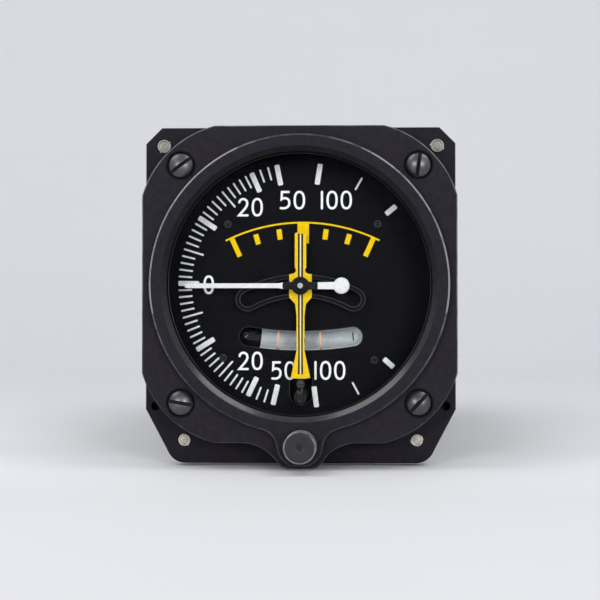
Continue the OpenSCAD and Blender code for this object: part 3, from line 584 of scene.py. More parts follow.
def in_flange(x, z):
    if abs(x) > FLANGE_HW or z > FLANGE_TOP or z < -FLANGE_BOT:
        return False
    if abs(x) + z > FLANGE_HW + FLANGE_TOP - 4.3 - 0.15:
        return False
    if z > -34.5:
        return True
    # slanted lower corner, tangent to the rounding
    a = math.radians(-29.5)
    tx, tz = 32.0 + 5.2 * math.cos(a), -FLANGE_BOT + 5.2 + 5.2 * math.sin(a)
    ax = abs(x)
    if z >= tz:
        return ax <= FLANGE_HW + (tx - FLANGE_HW) * (-34.5 - z) / (-34.5 - tz)
    if ax <= 32.0:
        return True
    return (ax - 32.0) ** 2 + (z + FLANGE_BOT - 5.2) ** 2 <= 5.2 ** 2


def outline(inside, angles, r0=30.0, r1=70.0):
    pts = []
    for a in angles:
        c, s = math.cos(a), math.sin(a)
        r = r0
        while r < r1 and inside(c * r, s * r):
            r += 0.4
        lo, hi = r - 0.4, r
        for _ in range(22):
            mid = (lo + hi) / 2
            if inside(c * mid, s * mid):
                lo = mid
            else:
                hi = mid
        pts.append((c * lo, s * lo))
    return pts


def inset(pts, d):
    """Each point moved inwards by d along the outline's normal."""
    n = len(pts)
    res = []
    for i in range(n):
        a, b = Vector(pts[i - 1]), Vector(pts[(i + 1) % n])
        t = (b - a).normalized()
        res.append((pts[i][0] - t.y * d, pts[i][1] + t.x * d))
    for _ in range(6):
        for i in range(n):
            j = (i + 1) % n
            s = Vector(pts[j]) - Vector(pts[i])
            if (Vector(res[j]) - Vector(res[i])).dot(s) <= 0:
                m = (Vector(res[i]) + Vector(res[j])) / 2
                s = s.normalized() * 0.002
                res[i], res[j] = tuple(m - s), tuple(m + s)
    return res


def row(pts, y):
    return [(x, y, z) for x, z in pts]


def fan(extra=(), step=0.5, dense=((-112, -68, 0.2),)):
    an = set()
    a = -180.0
    while a < 180 - 1e-9:
        an.add(round(a, 4))
        a += step
    for lo, hi, st in dense:
        a = lo
        while a < hi:
            an.add(round(a, 4))
            a += st
    for x, z in extra:
        an.add(round(math.degrees(math.atan2(z, x)), 4))
    return [math.radians(v) for v in sorted(an)]


def cutters(name, items, mat="black_paint"):
    """Turned cutting forms: each is (cx, cz, profile)."""
    bm = bmesh.new()
    for cx, cz, prof in items:
        n = 64
        vs = [[bm.verts.new(Vector((cx + r * math.cos(2 * math.pi * k / n), y, cz + r * math.sin(2 * math.pi * k / n))) * MM)
               for k in range(n)] for r, y in prof]
        for a, b in zip(vs, vs[1:]):
            for k in range(n):
                bm.faces.new((a[k], a[(k + 1) % n], b[(k + 1) % n], b[k]))
        bm.faces.new(vs[0])
        bm.faces.new(list(reversed(vs[-1])))
    ob = finish_mesh(name, bm, [mat], smooth=False)
    return ob


AN = fan()
base_o = outline(in_base, AN)
ring_o = outline(in_ring, AN)
base_i = inset(base_o, 0.30)
foot = []
for (x, z), (bx_, bz_) in zip(inset(ring_o, -0.22), base_i):
    k = min(1.0, (math.hypot(bx_, bz_) - 0.03) / math.hypot(x, z))
    foot.append((x * k, z * k))
rows = [
    circle_row(38.6, -5.4, 0, angles=AN),
    row(inset(base_o, 0.25), -5.4),
    row(base_o, -5.65),
    row(base_o, -12.72),
    row(inset(base_o, 0.09), -12.91),
    row(base_i, -13.0),
    row(foot, -13.0),
    row(ring_o, -13.2),
    row(ring_o, -15.02),
    row(inset(ring_o, 0.16), -15.34),
    row(inset(ring_o, 0.48), -15.5),
    circle_row(37.84, -15.5, 0, angles=AN),
    circle_row(37.74, -15.44, 0, angles=AN),
    circle_row(36.38, -14.10, 0, angles=AN),
    circle_row(36.34, -14.00, 0, angles=AN),
    circle_row(36.38, -12.75, 0, angles=AN),
    circle_row(36.02, -12.75, 0, angles=AN),
    circle_row(35.98, -13.0, 0, angles=AN),
    circle_row(35.89, -12.97, 0, angles=AN),
    circle_row(35.83, -12.85, 0, angles=AN),
    circle_row(35.86, -12.6, 0, angles=AN),
    circle_row(38.2, -12.55, 0, angles=AN),
    circle_row(38.6, -12.4, 0, angles=AN),
]
bm = bmesh.new()
# painted shade: the bore wall and the lip's front face take the darker inner black (index 4)
loft(bm, rows, mat_of=[0, 0, 0, 1, 1, 0, 0, 0, 2, 2, 0, 3, 3, 4, 4, 4, 4, 6, 4, 4, 4, 4, 4])
for f in bm.faces:
    mid = f.calc_center_median()
    if f.material_index in (1, 2):
        # painted shade: edge faces low on the bezel and at the top centre take dimmer copies of the edge material, in
        # steps, while the upper corners and the sides keep the brightest
        if mid.z < -0.027 or (mid.z > 0.036 and abs(mid.x) < 0.008):
            f.material_index = 5
        elif mid.z < -0.018 or (mid.z > 0.034 and abs(mid.x) < 0.012):
            f.material_index = 15
        elif mid.z < -0.008 or (mid.z > 0.032 and abs(mid.x) < 0.017):
            f.material_index = 14
    elif f.material_index == 3:
        # painted reflection: the chamfer's faces step from the most reflective copy at the bottom to the least at the
        # top
        f.material_index = (3, 7, 8, 9, 10, 11, 12, 13)[max(0, min(7, int((mid.z * 1000 + 14) / 3.5)))]
bezel = finish_mesh("bezel_body", bm, ["black_paint", "edge_base", "edge_ring", CHAMFER[0], "black_inner_painted_shade", "edge_low_painted_shade", "edge_soft"]
                    + CHAMFER[1:] + ["edge_mid_painted_shade", "edge_dim_painted_shade"], angle=20)
items = []
for sx in (-1, 1):
    for sz in (-1, 1):
        x, z = sx * SCREW_P, sz * SCREW_P
        items.append((x, z, [(2.15, -4.0), (2.15, -11.2), (3.75, -11.2), (3.75, -12.55), (4.18, -12.98), (4.18, -13.4)]))
items.append((KX, KZ, [(1.6, -4.0), (1.6, -14.0), (4.58, -14.0), (4.58, -15.42), (4.66, -15.5), (4.66, -16.0)]))
bezel = cut(bezel, cutters("bezel_cutters", items), "bezel_body", angle=20)
place(bezel, "case", "bezel", slot="bezel_paint")

FAN2 = fan(extra=[(s * x, z) for s in (-1, 1) for x, z in ((43, 39.2), (42.65, 39.75), (39.05, 43.35), (38.5, 43.7), (43, -34.5),
                                                        (36.526, -46.76))], dense=((-60, -35, 0.25), (-145, -120, 0.25)))
fl_o = outline(in_flange, FAN2)
bm = bmesh.new()
loft(bm, [circle_row(39.5, 0.0, 0, angles=FAN2), row(inset(fl_o, 0.2), 0.0), row(fl_o, -0.2), row(fl_o, -4.8),
          row(inset(fl_o, 0.06), -4.94), row(inset(fl_o, 0.2), -5.0), circle_row(39.5, -5.0, 0, angles=FAN2)],
     mat_of=[0, 0, 0, 1, 1, 0, 0])
# painted shade: the flange's lower edge bevel takes the darker inner black, where it sits in shadow near the floor
for f in bm.faces:
    if f.material_index == 1 and f.calc_center_median().z < -0.0455:
        f.material_index = 2
flange = finish_mesh("flange_body", bm, ["black_flange", "edge_soft", "black_inner_painted_shade"])
items = [(x, z, [(r + 0.12, 1.0), (r + 0.12, -4.9), (r + 0.22, -5.0), (r + 0.22, -6.0)]) for x, z, r in BUSH]
items += [(s * 40.2, -33.6, [(1.25, -1.0), (1.25, -4.9), (1.35, -5.0), (1.35, -6.0)]) for s in (-1, 1)]
items += [(sx * SCREW_P, sz * SCREW_P, [(2.0, -0.6), (2.0, -6.0)]) for sx in (-1, 1) for sz in (-1, 1)]
flange = cut(flange, cutters("flange_cutters", items, "black_flange"), "flange_body")
place(flange, "case", "mounting_flange", slot="case_paint")

# pale bushes in the flange, each turned with a faint inner ring; the upper two take a darker copy of the metal and the
# lower two a lighter one, as painted shade and painted light
bushes = []
for i, (x, z, r) in enumerate(BUSH):
    bushes.append(lathe(f"bush_{i}", [(0, -5.03), (r * 0.30, -5.05), (r * 0.52, -5.06), (r * 0.60, -5.02), (r * 0.66, -5.02),
                                       (r * 0.72, -5.10), (r * 0.88, -5.12), (r * 0.96, -5.08), (r, -4.95), (r, -0.15),
                                       (r - 0.15, 0.0), (1.25, 0.0), (1.25, -3.5), (0, -3.6)],
                        ["bush_top_painted_shade" if z > 0 else "bush_low_painted_light"], n=64, cx=x, cz=z))
place(join("bushes_set", bushes), "case", "flange_bushes", slot="bush_metal")

# slotted domed screws of the bezel
screws = []
for k, (sx, sz, ang) in enumerate([(-1, 1, 37), (1, 1, 82), (-1, -1, -10), (1, -1, 47)]):
    x, z = sx * SCREW_P, sz * SCREW_P
    prof = [(0, -14.1)]
    for j in range(1, 10):
        r = 3.38 * j / 9
        prof.append((r, -9.1 - math.sqrt(25 - r * r)))
    prof += [(3.45, -12.66), (3.45, -11.25), (3.38, -11.2), (1.95, -11.2), (1.95, -0.8), (1.6, -0.65), (0, -0.65)]
    head = lathe(f"screw_{k}", prof, ["screw_dark"], n=96, cx=x, cz=z)
    bm = bmesh.new()
    bmesh.ops.create_cube(bm, size=1.0)
    bmesh.ops.scale(bm, vec=(12 * MM, 4.0 * MM, 0.98 * MM), verts=bm.verts)
    bmesh.ops.translate(bm, vec=(0, -14.52 * MM, 0), verts=bm.verts)
    bmesh.ops.rotate(bm, cent=(0, 0, 0), matrix=Matrix.Rotation(math.radians(-ang), 3, "Y"), verts=bm.verts)
    bmesh.ops.translate(bm, vec=(x * MM, 0, z * MM), verts=bm.verts)
    head = cut(head, finish_mesh("slot", bm, ["slot_black"], smooth=False), f"screw_{k}")
    bv = head.modifiers.new("edge", "BEVEL")
    bv.width = 0.06 * MM
    bv.segments = 2
    bv.limit_method = "ANGLE"
    bv.angle_limit = math.radians(38)
    bpy.context.view_layer.update()
    screws.append(settle(f"screw_{k}", head))
place(join("bezel_screw_set", screws), "case", "bezel_screws", slot="screw_steel")

# knob: turned face with a worn rim and a centre mark, straight knurl on its side
N_KN = 240


def knurl(k, r, y):
    if r < 4.3 or y < -25.35 or y > -16.6:
        return 1.0
    return 1.0 - 0.022 * (0.5 + 0.5 * math.cos(2 * math.pi * k / 5.0))


kp = [(0, -25.80), (0.30, -25.80), (0.44, -25.58), (0.66, -25.58), (0.80, -25.88), (1.05, -25.95), (1.5, -25.985), (3.2, -26.0),
      (4.06, -26.0), (4.17, -25.975), (4.38, -25.82), (4.435, -25.68), (4.45, -25.5), (4.45, -25.25), (4.45, -24), (4.45, -20),
      (4.45, -16.8), (4.45, -16.5), (4.40, -15.6), (4.40, -14.6), (4.3, -14.5), (1.5, -14.5), (1.5, -22.0), (0, -22.0)]
km = [0, 0, 0, 0, 0, 0, 0, 0, 1, 1, 1, 1, 2, 2, 2, 2, 2, 2, 2, 2, 2, 2, 2]
knob = lathe("knob_turned", kp, ["knob_face", "knob_edge", "knob_side"], n=N_KN, cx=KX, cz=KZ, mat_of=km, wobble=knurl, angle=40)
place(knob, "knob", "zero_knob", slot="knob_black")

# ---------------------------------------------------------------- dial
DX = (301.35, 285.3, 3.575)  # centre and scale of the dial in the drawing below
CLIMB_Z, TURN_Z, SLIP_R, SLIP_Z = -0.3, -31.2, 92.0, -15.5


def slip_outline(dr, xr, n=40):
    a = math.degrees(math.asin(xr / SLIP_R))
    cz = SLIP_Z + SLIP_R
    pts = arc(0, cz, SLIP_R + dr, -90 - a, -90 + a, n)
    ex, ez = SLIP_R * math.sin(math.radians(a)), cz - SLIP_R * math.cos(math.radians(a))
    pts += arc(ex, ez, dr, -90 + a + 12, 90 + a - 12, 12)
    pts += arc(0, cz, SLIP_R - dr, -90 + a, -90 - a, n)
    pts += arc(-ex, ez, dr, 90 - a + 12, 270 - a - 12, 12)
    return pts


u_cut = [(-3.2, -25.9), (-3.2, -30.2)] + arc(0, -30.2, 3.2, 180, 360, 24)[1:] + [(3.2, -25.9)]
SCREWS_D = [(-20.5, 17.1), (21.4, 17.1), (-21.8, -20.3), (20.5, -20.9)]
dial = plate("dial_plate", [disc(0, 0, 37.5, 160), slip_outline(2.75, 14.6), u_cut, disc(0, CLIMB_Z, 1.7, 32)]
             + [disc(x, z, 0.86, 24) for x, z in SCREWS_D], -1.0, 0.0, ["dial_paint"], bevel=0.1)
place(dial, "case", "dial", slot="dial_face")

INK0, INK1 = -1.05, -0.97
place(plate("window_lines", stroke(u_cut, 0.17) + [[(x, z) for x, z in slip_outline(2.80, 14.6)], [(x, z) for x, z in slip_outline(2.68, 14.6)]],
            -1.03, -0.97, ["edge_line"], bevel=0.01, segs=1), "case", slot="dial_face")


def ink(name, outlines, mat, slot, y0=INK0, y1=INK1, bevel=0.012):
    return place(plate(name, outlines, y0, y1, [mat], bevel=bevel, segs=1), "case", slot=slot)


def tick(cw, r0, r1, w):
    a = math.radians(90 - cw)
    c, s = math.cos(a), math.sin(a)
    return stroke([((r0 + w / 2) * c, (r0 + w / 2) * s), ((r1 - w / 2) * c, (r1 - w / 2) * s)], w)[0]


def bar(cw, r0, r1, w, q=0.34):
    """A tick with nearly square ends, corner radius q."""
    a = math.radians(90 - cw)
    c, s = math.cos(a), math.sin(a)
    h = w / 2 - q
    pts = []
    for u, v, a0 in ((r1 - q, h, 90), (r1 - q, -h, 0), (r0 + q, -h, -90), (r0 + q, h, 180)):
        for k in range(5):
            b = math.radians(a0 - 22.5 * k)
            pu, pv = u + q * math.cos(b), v + q * math.sin(b)
            pts.append((pu * c - pv * s, pu * s + pv * c))
    return pts


thin, thick = [], []
for side in (1, -1):
    for u in range(0, 21):
        if side == -1 and u == 0:
            continue
        at = 270.9 + side * 3.265 * u
        if u in (0, 10, 20):
            thick.append(bar(at, 28.5, 34.35, 1.43))
        elif u in (5, 15):
            thin.append(tick(at, 28.5, 34.35, 0.51))
        else:
            thin.append(tick(at, 30.5, 34.35, 0.51))
    for off, kind in ((69.5, "t"), (73.4, "t"), (77.7, "K"), (98.2, "K"), (118.8, "l"), (139.3, "k")):
        at = 270.9 + side * off
        if kind == "t":
            thin.append(tick(at, 30.5, 34.35, 0.51))
        elif kind == "K":
            thick.append(bar(at, 28.5, 34.35, 1.43))
        elif kind == "l":
            thin.append(tick(at, 30.6, 34.55, 0.51))
        else:
            thick.append(bar(at, 30.9, 34.55, 1.43))
ink("marks_thin", thin, "lume", "white_enamel")
ink("marks_thick", thick, "lume", "white_enamel", y0=-1.09)

# numerals: single strokes with round ends, H high
H = 5.2
SW = 0.64


def bez(p0, p1, p2, p3, n=10):
    return [tuple((1 - t) ** 3 * a + 3 * (1 - t) ** 2 * t * b + 3 * (1 - t) * t * t * c + t ** 3 * d
                  for a, b, c, d in zip(p0, p1, p2, p3)) for t in [i / n for i in range(n + 1)]]


def chain(*parts):
    out = list(parts[0])
    for p in parts[1:]:
        out += p[1:] if math.dist(out[-1], p[0]) < 1e-6 else p
    return out


def glyph(ch, w):
    """Centre lines of a numeral w wide and 1 high, from 0,0 at its lower left."""
    if ch == "0":
        c = []
        for i in range(48):
            a = 2 * math.pi * i / 48
            ca, sa = math.cos(a), math.sin(a)
            c.append((w / 2 + w / 2 * math.copysign(abs(ca) ** 0.86, ca), 0.5 + 0.5 * math.copysign(abs(sa) ** 0.86, sa)))
        return c, True
    if ch == "1":
        return [(w / 2, 0.0), (w / 2, 1.0)], False
    if ch == "2":
        return chain(bez((0.03 * w, 0.80), (0.10 * w, 0.94), (0.28 * w, 1.0), (0.48 * w, 1.0)),
                     bez((0.48 * w, 1.0), (0.80 * w, 1.0), (0.97 * w, 0.88), (0.97 * w, 0.72)),
                     bez((0.97 * w, 0.72), (0.97 * w, 0.55), (0.62 * w, 0.36), (0.0, 0.0)),
                     [(0.0, 0.0), (w, 0.0)]), False
    if ch == "5":
        return chain([(0.92 * w, 1.0), (0.14 * w, 1.0)], [(0.14 * w, 1.0), (0.10 * w, 0.56)],
                     bez((0.10 * w, 0.56), (0.30 * w, 0.66), (1.0 * w, 0.68), (1.0 * w, 0.34)),
                     bez((1.0 * w, 0.34), (1.0 * w, 0.05), (0.55 * w, -0.03), (0.0, 0.02))), False
    return [], False


def number(text, x0, x1, z0, z1):
    """Outlines of text whose ink fills x0..x1 and z0..z1."""
    h = z1 - z0 - SW
    widths = {"0": 0.50, "1": 0.02, "2": 0.47, "5": 0.46}
    gap = {"0": 0.20, "1": 0.235, "2": 0.21, "5": 0.21}
    total = sum(widths[c] for c in text) + sum((gap[a] + gap[b]) / 2 + SW / h * 0.62 for a, b in zip(text, text[1:]))
    k = (x1 - x0 - SW) / (total * h)
    x = x0 + SW / 2
    outs = []
    for i, c in enumerate(text):
        w = widths[c] * h * k
        pts, closed = glyph(c, w / h)
        pts = [(x + px * h, z0 + SW / 2 + pz * h) for px, pz in pts]
        outs += stroke(pts, SW, closed)
        if i + 1 < len(text):
            x += w + ((gap[c] + gap[text[i + 1]]) / 2 + SW / h * 0.62) * h * k
    return outs


def px(x, z):
    return (x - DX[0]) / DX[2], (DX[1] - z) / DX[2]


for nm, text, (xa, xb, ya, yb) in (
        ("num_zero", "0", (203.65, 214.35, 275.4, 294.2)),
        ("num_up_20", "20", (238.2, 263.2, 197.9, 216.5)), ("num_up_50", "50", (280.0, 305.5, 190.9, 209.6)),
        ("num_up_100", "100", (321.0, 352.3, 190.9, 209.6)), ("num_down_20", "20", (238.6, 263.2, 351.7, 370.2)),
        ("num_down_50", "50", (271.6, 296.0, 361.3, 379.9)), ("num_down_100", "100", (314.5, 345.7, 361.0, 379.9))):
    (x0, z1), (x1, z0) = px(xa, ya), px(xb, yb)
    ink(nm, number(text, x0, x1, z0, z1), "print_white", "white_enamel")

# yellow scale of the turn pointer
YX, YZ, YR = 0.45, -31.0, 48.5


def radial(ang, r0, r1, w):
    a = math.radians(90 - ang)
    c, s = math.cos(a), math.sin(a)
    h = w / 2
    return [(YX + r0 * c - h * s, YZ + r0 * s + h * c), (YX + r1 * c - h * s, YZ + r1 * s + h * c),
            (YX + r1 * c + h * s, YZ + r1 * s - h * c), (YX + r0 * c + h * s, YZ + r0 * s - h * c)]


band = arc(YX, YZ, YR + 0.24, 90 + 26.3, 90 - 26.3, 60) + arc(YX, YZ, YR - 0.24, 90 - 26.3, 90 + 26.3, 60)
ink("scale_line", [band], "print_yellow", "yellow_enamel")
ink("scale_marks", [radial(s * a, 44.2, 47.1, 1.4) for s in (-1, 1) for a in (8.1, 16.2)], "print_yellow", "yellow_enamel")
ink("scale_ends", [radial(s * 24.2, 42.8, 48.5, 1.37) for s in (-1, 1)], "print_yellow", "yellow_enamel", y0=-1.054)
ink("scale_centre", [[(-0.96, 17.7), (2.24, 17.7), (2.24, 11.7), (-0.96, 11.7)]], "print_yellow", "yellow_enamel", y0=-1.056)

# dial screws, black with a slot; the rim bevel takes a lighter copy of the black, a painted highlight
ds = []
for i, (x, z) in enumerate(SCREWS_D):
    head = lathe(f"dscrew_{i}", [(0, -1.34), (0.66, -1.34), (0.76, -1.42), (0.92, -1.42), (1.04, -1.30), (1.05, -1.15),
                                  (1.05, -1.0), (0.78, -1.0), (0.78, 3.0), (0.6, 3.2), (0, 3.2)],
                 ["screw_black", "screw_rim_painted_highlight"], n=48, cx=x, cz=z, mat_of=[0, 0, 1, 1, 0, 0, 0, 0, 0, 0])
    bm = bmesh.new()
    bmesh.ops.create_cube(bm, size=1.0)
    bmesh.ops.scale(bm, vec=(4 * MM, 1.0 * MM, 0.26 * MM), verts=bm.verts)
    bmesh.ops.translate(bm, vec=(0, -1.68 * MM, 0), verts=bm.verts)
    bmesh.ops.rotate(bm, cent=(0, 0, 0), matrix=Matrix.Rotation(math.radians(-(30 + 50 * i)), 3, "Y"), verts=bm.verts)
    bmesh.ops.translate(bm, vec=(x * MM, 0, z * MM), verts=bm.verts)
    ds.append(cut(head, finish_mesh("slot", bm, ["slot_black"], smooth=False), f"dscrew_{i}"))
place(join("dial_screw_set", ds), "case", "dial_screws", slot="black_screw")

# ---------------------------------------------------------------- slip tube
def tube_shell(name, ro, ri, x_end, mats, y=0.6, n=60, m=28):
    """Closed curved tube wall with rounded ends."""
    bm = bmesh.new()
    a1 = math.asin(x_end / SLIP_R)
    cz = SLIP_Z + SLIP_R
    rows_ = []
    prof = []
    for i in range(n + 1):
        prof.append((-a1 + 2 * a1 * i / n, 1.0))
    for k in range(1, 7):
        t = k / 6 * math.pi / 2
        prof.append((a1 + ro * math.sin(t) / SLIP_R, max(0.02, math.cos(t))))
        prof.insert(0, (-a1 - ro * math.sin(t) / SLIP_R, max(0.02, math.cos(t))))
    for a, k in prof:
        ring = []
        for j in range(m):
            b = 2 * math.pi * j / m
            rr = SLIP_R + ro * k * math.cos(b)
            ring.append((rr * math.sin(a), y + ro * k * math.sin(b), cz - rr * math.cos(a)))
        rows_.append(ring)
    loft(bm, rows_, closed=False, caps=True, mat_of=[0] * len(rows_))
    if ri:
        rows_ = []
        for a, k in prof:
            ring = []
            aa = a * (1 - 0.06)
            for j in range(m):
                b = 2 * math.pi * j / m
                rr = SLIP_R + ri * k * math.cos(b)
                ring.append((rr * math.sin(aa), y + ri * k * math.sin(b), cz - rr * math.cos(aa)))
            rows_.append(ring)
        loft(bm, rows_, closed=False, caps=True, mat_of=[0] * len(rows_))
    return finish_mesh(name, bm, mats)


place(tube_shell("slip_tube_glass", 2.38, 0, 14.9, ["tube_glass"]), "case", "slip_tube", slot="tube_glass")


def slip_band(x0, x1, dr, n=30, round_right=True):
    cz = SLIP_Z + SLIP_R
    a0, a1 = math.degrees(math.asin(x0 / SLIP_R)), math.degrees(math.asin(x1 / SLIP_R))
    pts = arc(0, cz, SLIP_R + dr, -90 + a0, -90 + a1, n)
    if round_right:
        ex, ez = SLIP_R * math.sin(math.radians(a1)), cz - SLIP_R * math.cos(math.radians(a1))
        pts += arc(ex, ez, dr, -90 + a1 + 12, 90 + a1 - 12, 12)
    pts += arc(0, cz, SLIP_R - dr, -90 + a1, -90 + a0, n)
    return pts


def trough(name, x0, x1, ro, ri, mats, y=0.6, n=64, m=20, lip=96):
    """Open half-shell behind the tube, its right end rounded, from x0 to x1 along the tube."""
    cz = SLIP_Z + SLIP_R
    a0, a1 = math.asin(x0 / SLIP_R), math.asin(x1 / SLIP_R)
    stops = [(a0 + (a1 - a0) * i / n, 1.0) for i in range(n + 1)]
    for k in range(1, 9):
        t = k / 8 * math.pi / 2
        stops.append((a1 + ro * math.sin(t) / SLIP_R, max(0.03, math.cos(t))))
    sect = []
    for j in range(m + 1):
        sect.append((ro, math.radians(-lip + 2 * lip * j / m)))
    for j in range(m, -1, -1):
        sect.append((ri, math.radians(-lip + 2 * lip * j / m)))
    rows_ = []
    for a, k in stops:
        aa = [a, min(a, a1 + (a - a1) * ri / ro)]
        ring = []
        for r, b in sect:
            an_ = aa[0] if r == ro else aa[1]
            rr = SLIP_R + r * k * math.sin(b)
            ring.append((rr * math.sin(an_), y + r * k * math.cos(b), cz - rr * math.cos(an_)))
        rows_.append(ring)
    bm = bmesh.new()
    loft(bm, rows_, closed=False, caps=True, mat_of=[0] * len(rows_))
    return finish_mesh(name, bm, mats, angle=50)


place(trough("slip_back", -11.3, 14.25, 2.86, 2.50, ["enamel_white_painted_bands"]), "case", "slip_backing", slot="white_enamel")
bm = bmesh.new()
rows_ = []
for j in range(13):
    b = math.radians(-29 + 58 * j / 12)
    ring = []
    for dx, rr in ((-0.17, 2.49), (0.17, 2.49), (0.17, 2.43), (-0.17, 2.43)):
        x = 14.5 + dx - 0.09 * (j - 6) / 6
        u = SLIP_R + rr * math.sin(b)
        ang = math.asin(x / SLIP_R)
        ring.append((u * math.sin(ang), 0.6 + rr * math.cos(b), SLIP_Z + SLIP_R - u * math.cos(ang)))
    rows_.append(ring)
loft(bm, rows_, closed=False, caps=True, mat_of=[0] * len(rows_))
place(finish_mesh("tube_mark", bm, ["screw_black"]), "case", slot="black_screw")
wires = []
for i, x in enumerate((-6.35, 5.45)):
    a = math.asin(x / SLIP_R)
    cz = SLIP_Z + SLIP_R
    bm = bmesh.new()
    rows_ = []
    for j in range(33):
        b = math.radians(-86 + 172 * j / 32)
        ring = []
        for k in range(10):
            c = 2 * math.pi * k / 10
            rr = 2.56 + 0.12 * math.cos(c)
            u, v, w = rr * math.sin(b), -rr * math.cos(b), 0.25 * math.sin(c)
            ring.append((x + w * math.cos(a) - u * math.sin(a), 0.6 + v, cz - math.sqrt(SLIP_R ** 2 - x * x) + u * math.cos(a) + w * math.sin(a)))
        rows_.append(ring)
    loft(bm, rows_, closed=False, caps=True, mat_of=[0] * len(rows_))
    wires.append(finish_mesh(f"wire_{i}", bm, ["wire_orange"]))
place(join("index_wire_set", wires), "case", "index_wires", slot="index_wire")

# ---------------------------------------------------------------- rate-of-climb pointer
def cp(x):
    return x


white = []
bar = [(-32.0, CLIMB_Z - 0.45), (-32.0, CLIMB_Z + 0.45), (-31.2, CLIMB_Z + 0.66), (-6.0, CLIMB_Z + 0.68), (-4.75, CLIMB_Z + 0.9),
       (-4.95, CLIMB_Z), (-4.75, CLIMB_Z - 0.9), (-6.0, CLIMB_Z - 0.68), (-31.2, CLIMB_Z - 0.66)]
white.append(plate("climb_bar", [bar], -7.12, -6.6, ["pointer_white"], bevel=0.08))
tail = [(4.85, CLIMB_Z - 0.95), (4.85, CLIMB_Z + 0.95), (9.6, CLIMB_Z + 1.02), (9.6, CLIMB_Z - 1.02)]
white.append(plate("climb_tail", [tail], -7.12, -6.6, ["pointer_white"], bevel=0.06))
white.append(lathe("climb_weight", [(0, -7.30), (0.7, -7.28), (1.4, -7.22), (1.95, -7.12), (2.2, -6.98), (2.27, -6.85), (2.27, -6.65),
                                    (2.18, -6.58), (0, -6.58)], ["pointer_white"], n=64, cx=11.4, cz=CLIMB_Z))
place(join("climb_pointer_white", white), "climb_pointer", "climb_pointer", slot="white_enamel")
dark = [plate("climb_mid", [[(-5.6, CLIMB_Z - 0.62), (-5.6, CLIMB_Z + 0.62), (-4.7, CLIMB_Z + 1.07), (5.0, CLIMB_Z + 1.07), (5.0, CLIMB_Z - 1.07),
                             (-4.7, CLIMB_Z - 1.07)]], -7.08, -6.62, ["pointer_black"], bevel=0.06),
        lathe("climb_hub", [(0, -7.42), (0.72, -7.42), (0.8, -7.34), (0.95, -7.3), (1.3, -7.28), (1.42, -7.2), (2.3, -7.2), (2.44, -7.15),
                            (2.5, -7.04), (2.5, -6.6), (2.42, -6.5), (1.45, -6.5), (1.45, -5.5), (1.35, -5.4), (0, -5.4)],
              ["pointer_black"], n=96, cx=0, cz=CLIMB_Z)]
place(join("climb_pointer_hub", dark), "climb_pointer", slot="ring_paint")

# ---------------------------------------------------------------- turn pointer
half = [(1.3, 14.5), (1.6, 14.2), (1.6, 4.9), (1.3, 4.3), (1.34, 3.7), (1.75, 3.25), (2.3, 3.05), (3.15, 2.95), (3.15, -3.5), (1.5, -5.3),
        (1.12, -8.6), (1.1, -18.2), (2.72, -25.85), (1.2, -26.05)]
blade = half + [(-x, z) for x, z in reversed(half)]
place(plate("turn_blade", [blade], -4.6, -4.1, ["pointer_yellow"], bevel=0.07), "turn_pointer", "turn_pointer", slot="yellow_enamel")
strip = [(0.72, 14.25), (0.72, 4.4), (0.70, -3.0), (0.66, -8.6), (0.62, -18.2), (0.72, -24.85)]
dark_l = [(-0.21, 14.25), (-0.21, -24.85)] + [(-x, z) for x, z in reversed(strip)]
dark_r = [(0.21, 14.25), (0.21, -24.85)] + list(reversed(strip))
place(plate("turn_stripe", [dark_l, dark_r], -4.64, -4.58, ["pointer_black"], bevel=0.012, segs=1), "turn_pointer", slot="ring_paint")
place(plate("turn_line", [[(-0.20, 14.0), (0.20, 14.0), (0.20, -24.85), (-0.20, -24.85)]], -4.66, -4.59,
            ["pointer_cream"], bevel=0.012, segs=1), "turn_pointer", slot="white_enamel")


def loop(w, a, r=30.9, n=44):
    ex, ez = r * math.sin(math.radians(a)), TURN_Z + r * math.cos(math.radians(a))
    return (arc(0, TURN_Z, r + w, 90 - a, 90 + a, n) + arc(-ex, ez, w, 102 + a, 258 + a, 13)
            + arc(0, TURN_Z, r - w, 90 + a, 90 - a, n) + arc(ex, ez, w, -78 - a, 78 - a, 13))


hoop = plate("turn_loop", [loop(3.27, 28.5), loop(2.1, 28.5)], -4.58, -4.12, ["loop_black", "loop_edge_painted_highlight"], bevel=0.12, segs=3)
# painted highlight: the loop's small slanted bevel faces take a lighter, glossier copy of the loop black
for f in hoop.data.polygons:
    if 0.08 < abs(f.normal.y) < 0.995 and f.area < 2e-6:
        f.material_index = 1
place(hoop, "turn_pointer", slot="ring_paint")
tailp = [(-0.95, -25.6), (0.95, -25.6), (0.95, -29.6)] + arc(0, TURN_Z, 1.85, 58, -238, 30) + [(-0.95, -29.6)]
dome = lathe("turn_dome", [(0, -5.02), (0.4, -5.0), (0.85, -4.9), (1.09, -4.76), (1.17, -4.62), (1.17, -4.5), (0, -4.5)],
             ["screw_grey"], n=64, cx=0, cz=-27.6)
bm = bmesh.new()
bmesh.ops.create_cube(bm, size=1.0)
bmesh.ops.scale(bm, vec=(4 * MM, 1.0 * MM, 0.24 * MM), verts=bm.verts)
bmesh.ops.rotate(bm, cent=(0, 0, 0), matrix=Matrix.Rotation(math.radians(4), 3, "Y"), verts=bm.verts)
bmesh.ops.translate(bm, vec=(0, -5.32 * MM, -27.6 * MM), verts=bm.verts)
dome = cut(dome, finish_mesh("slot", bm, ["slot_black"], smooth=False), "turn_dome")
hubs = [plate("turn_tail", [tailp], -4.55, -4.12, ["pointer_black"], bevel=0.08), dome,
        lathe("turn_boss", [(0.92, -5.0), (1.75, -5.0), (1.9, -4.85), (1.9, -3.7), (1.8, -3.6), (0.92, -3.6)], ["screw_black"],
              n=64, cx=0, cz=TURN_Z)]
